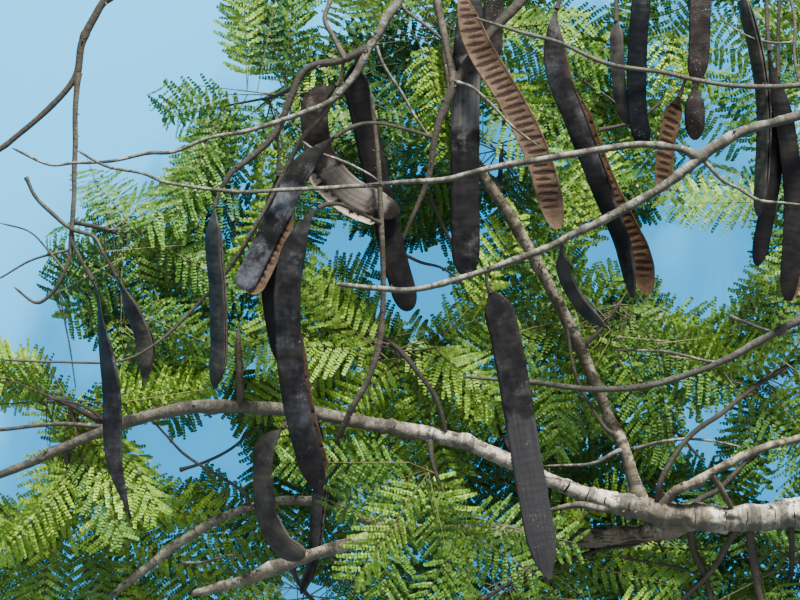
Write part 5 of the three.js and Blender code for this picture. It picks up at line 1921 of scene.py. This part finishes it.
@dataclass
class Mass:
    """One mass of leaves, grown by the rule of the solids and carried on to finer twigs."""

    plan: MassPlan
    clear: ClearSpace
    twig_length: float = 85.0 * MM
    frond_length: float = 205.0 * MM
    frond_width: float = 112.0 * MM
    flatten: float = 0.65
    rim: float = 8.0 * MM
    tries: int = 24
    spray: int = 4

    def __post_init__(self) -> None:
        """Lays out the stem and starts both sources of small differences."""
        points = PICTURE.place(self.plan.stem)
        self.heart, self.stem = points[-1], Route(points)
        self.rng = random.Random(self.plan.seed)
        self.fine = np.random.default_rng(self.plan.seed)

    def fits(self, points: Array) -> bool:
        """Whether points lie inside the mass's reach and heights and inside the bough's box.

        Args:
            points: The points.

        Returns:
            True if all do.
        """
        low, high = np.array(CAD_BOX[0]), np.array(CAD_BOX[1])
        far = np.hypot(*(points[:, :2] - self.heart[:2]).T).max()
        inside = (points[:, :2] > low[:2] + self.rim).all() and (points[:, :2] < high[:2] - self.rim).all()
        bottom, top = (height * MM for height in self.plan.heights)
        level = points[:, 2].min() > bottom and points[:, 2].max() < top
        return bool(inside and level and far < self.plan.reach * MM)

    def flattened(self, heading: float) -> float:
        """A heading turned towards level in the picture, as side boughs carry their leaves."""
        return math.atan2(self.flatten * math.sin(heading), math.cos(heading))

    def twig(self, index: int) -> Twig:
        """A twig that leaves the stem near its end, and rises or sinks inside the mass.

        Args:
            index: Its number, which sets its heading.

        Returns:
            The twig.
        """
        rng = self.rng
        start = self.stem.by_length(np.array([0.5 + 0.48 * rng.random()]))[0][0]
        heading = self.flattened(GOLDEN_TURN * index + rng.random() * 0.9)
        length = self.twig_length * (0.5 + 1.6 * rng.random())
        low, high = self.plan.heights
        height = (low + (high - low) * (0.12 + 0.76 * rng.random())) * MM
        end = start + np.array([math.cos(heading), math.sin(heading), 0]) * length
        end[2] = float(np.clip(height, start[2] - length * 0.6, start[2] + length * 0.6))
        return Twig(start, end, heading)

    def frond(self, twig: Twig, first: bool) -> Frond:
        """A leaf on a twig, never steeper than the mass has room for.

        Args:
            twig: The twig.
            first: Whether it is the leaf at the twig's tip.

        Returns:
            The leaf.
        """
        rng = self.rng
        low, high = self.plan.heights
        share = 0.97 if first else 0.2 + 0.75 * rng.random()
        side = rng.choice((-1, 1))
        lean = min(1.0, (high - low) * MM / self.frond_length)
        return Frond(
            root=twig.points(9)[round(share * 8)],
            heading=self.flattened(twig.heading + side * (1.2 * (1 - share) + 0.8 * rng.random())),
            pitch=lean * (0.8 * rng.random() - 0.3),
            droop=lean * (0.2 + 0.7 * rng.random()),
            roll=rng.uniform(-0.75, 0.75) * min(1.0, 1.6 * lean),
            length=self.frond_length * rng.uniform(0.68, 1.06),
            width=self.frond_width * rng.uniform(0.78, 1.06),
            fold=rng.uniform(0.12, 0.62) * min(1.0, 1.6 * lean),
        )

    def best(self, twig: Twig, first: bool) -> Frond | None:
        """The least crowded of some leaves that could stand on a twig.

        Args:
            twig: The twig.
            first: Whether it is the leaf at the twig's tip.

        Returns:
            The leaf, if one fits.
        """
        found, least = None, self.plan.layers
        for _ in range(self.tries):
            frond = self.frond(twig, first)
            samples = frond.samples()
            crowding = self.clear.crowding(samples)
            fits = crowding < least and self.fits(samples)
            if fits and self.clear.allows(samples, self.plan.may_cover):
                found, least = frond, crowding
        return found

    def grow(self, draft: Draft, twigs: Draft, greens: list[Green]) -> int:
        """Grows the mass.

        Args:
            draft: Where its leaves go.
            twigs: Where its stem and its twigs go, as the first and second material.
            greens: The materials of the leaves in slot order, with the stalk's last.

        Returns:
            How many leaves it has.
        """
        plan = self.plan
        Limb("stem", LimbPlan(plan.stem, Bark.DARK, 0.8), step=5 * MM, collar=0.2).add_to(twigs)
        count, index = 0, 0
        while count < plan.fronds and index < plan.fronds * 3:
            twig = self.twig(index)
            index += 1
            if not self.fits(twig.points()) or not self.clear.allows(twig.points(5), 5):
                continue
            borne = 0
            for number in range(self.spray):
                frond = self.best(twig, number == 0)
                if frond:
                    self.clear.cover(frond.samples())
                    green = greens.index(self.rng.choice(plan.greens))
                    frond.add_to(draft, green, len(greens) - 1, self.fine)
                    borne += 1
            count += borne
            if borne:
                twig.add_to(twigs, 1)
        return count


@dataclass
class Foliage:
    """All the masses of leaves, joined into five pieces, and all their twigs in one."""

    clear: ClearSpace

    def build(self) -> None:
        """Builds the pieces of leaves and the piece of twigs."""
        twigs, greens = Draft(), list(Green)
        for piece_name, nodes in LEAF_PIECES.items():
            draft = Draft()
            for node in nodes:
                LOG.info("%s: %d leaves", node, Mass(MASSES[node], self.clear).grow(draft, twigs, greens))
            settle(draft.finish(piece_name, finishes_of(greens), smooth=False), nodes)
        settle(twigs.finish("leafy_twigs", finishes_of((Bark.DARK, Bark.GREEN))))


@dataclass
class Studio:
    """The pale floor and the soft light."""

    floor_size: float = 9.0
    floor_paint: Colour = (0.028, 0.24, 0.44)
    glow_colour: Colour = (0.02, 0.46, 1.0)
    floor_glow: float = 1.05
    room_colour: Colour = (0.86, 0.93, 1.0)
    room_strength: float = 1.05
    key_spot: Spot = (1.2, 6.0, 2.8)
    key_size: float = 1.3
    key_power: float = 3050.0
    key_colour: Colour = (1.0, 0.95, 0.87)

    def build(self) -> None:
        """Lays the floor and hangs the lights."""
        half = self.floor_size / 2
        corners = np.array([(-half, -half, 0), (half, -half, 0), (half, half, 0), (-half, half, 0)], float)
        draft = Draft()
        draft.add(corners, np.array([[0, 1, 2, 3]]))
        shader = Shader("pale_floor")
        shader.surface.inputs["Emission Color"].default_value = shader.full(self.glow_colour)
        shader.surface.inputs["Emission Strength"].default_value = self.floor_glow
        floor = draft.finish("floor", [shader.dress(self.floor_paint, 0.9, None, 0.2)])
        floor.location.z = -FLOOR_GAP
        self.hang_light()
        world = bpy.data.worlds.new("soft_room")
        world.use_nodes = True
        background = world.node_tree.nodes["Background"]
        background.inputs["Color"].default_value = shader.full(self.room_colour)
        background.inputs["Strength"].default_value = self.room_strength
        bpy.context.scene.world = world

    def hang_light(self) -> None:
        """Adds the square soft light that points at the bough's middle."""
        data = bpy.data.lights.new("key_light", "AREA")
        data.size, data.energy, data.color = self.key_size, self.key_power, self.key_colour
        lamp = bpy.data.objects.new("key_light", data)
        lamp.location = self.key_spot
        lamp.rotation_euler = (-Vector(self.key_spot)).to_track_quat("-Z", "Y").to_euler()
        bpy.context.scene.collection.objects.link(lamp)


def main() -> None:
    """Builds the bough in order: camera, limbs, pods, leaves and studio."""
    logging.basicConfig(level=logging.INFO, format="%(message)s")
    PICTURE.add_camera()
    clear = ClearSpace()
    for name, plan in LIMBS.items():
        Limb(name, plan).build()
        clear.add_limb(plan)
    FineTwigs().build()
    PeelingStrips().build()
    Stubs().build()
    Cracks().build()
    CutEnd().build()
    for form in PodForm:
        Fruit().build(form)
    for plan in (*PODS.values(), SPLIT_VALVE):
        clear.add_pod(plan)
    clear.ready()
    Foliage(clear).build()
    Studio().build()


if __name__ == "__main__":
    main()
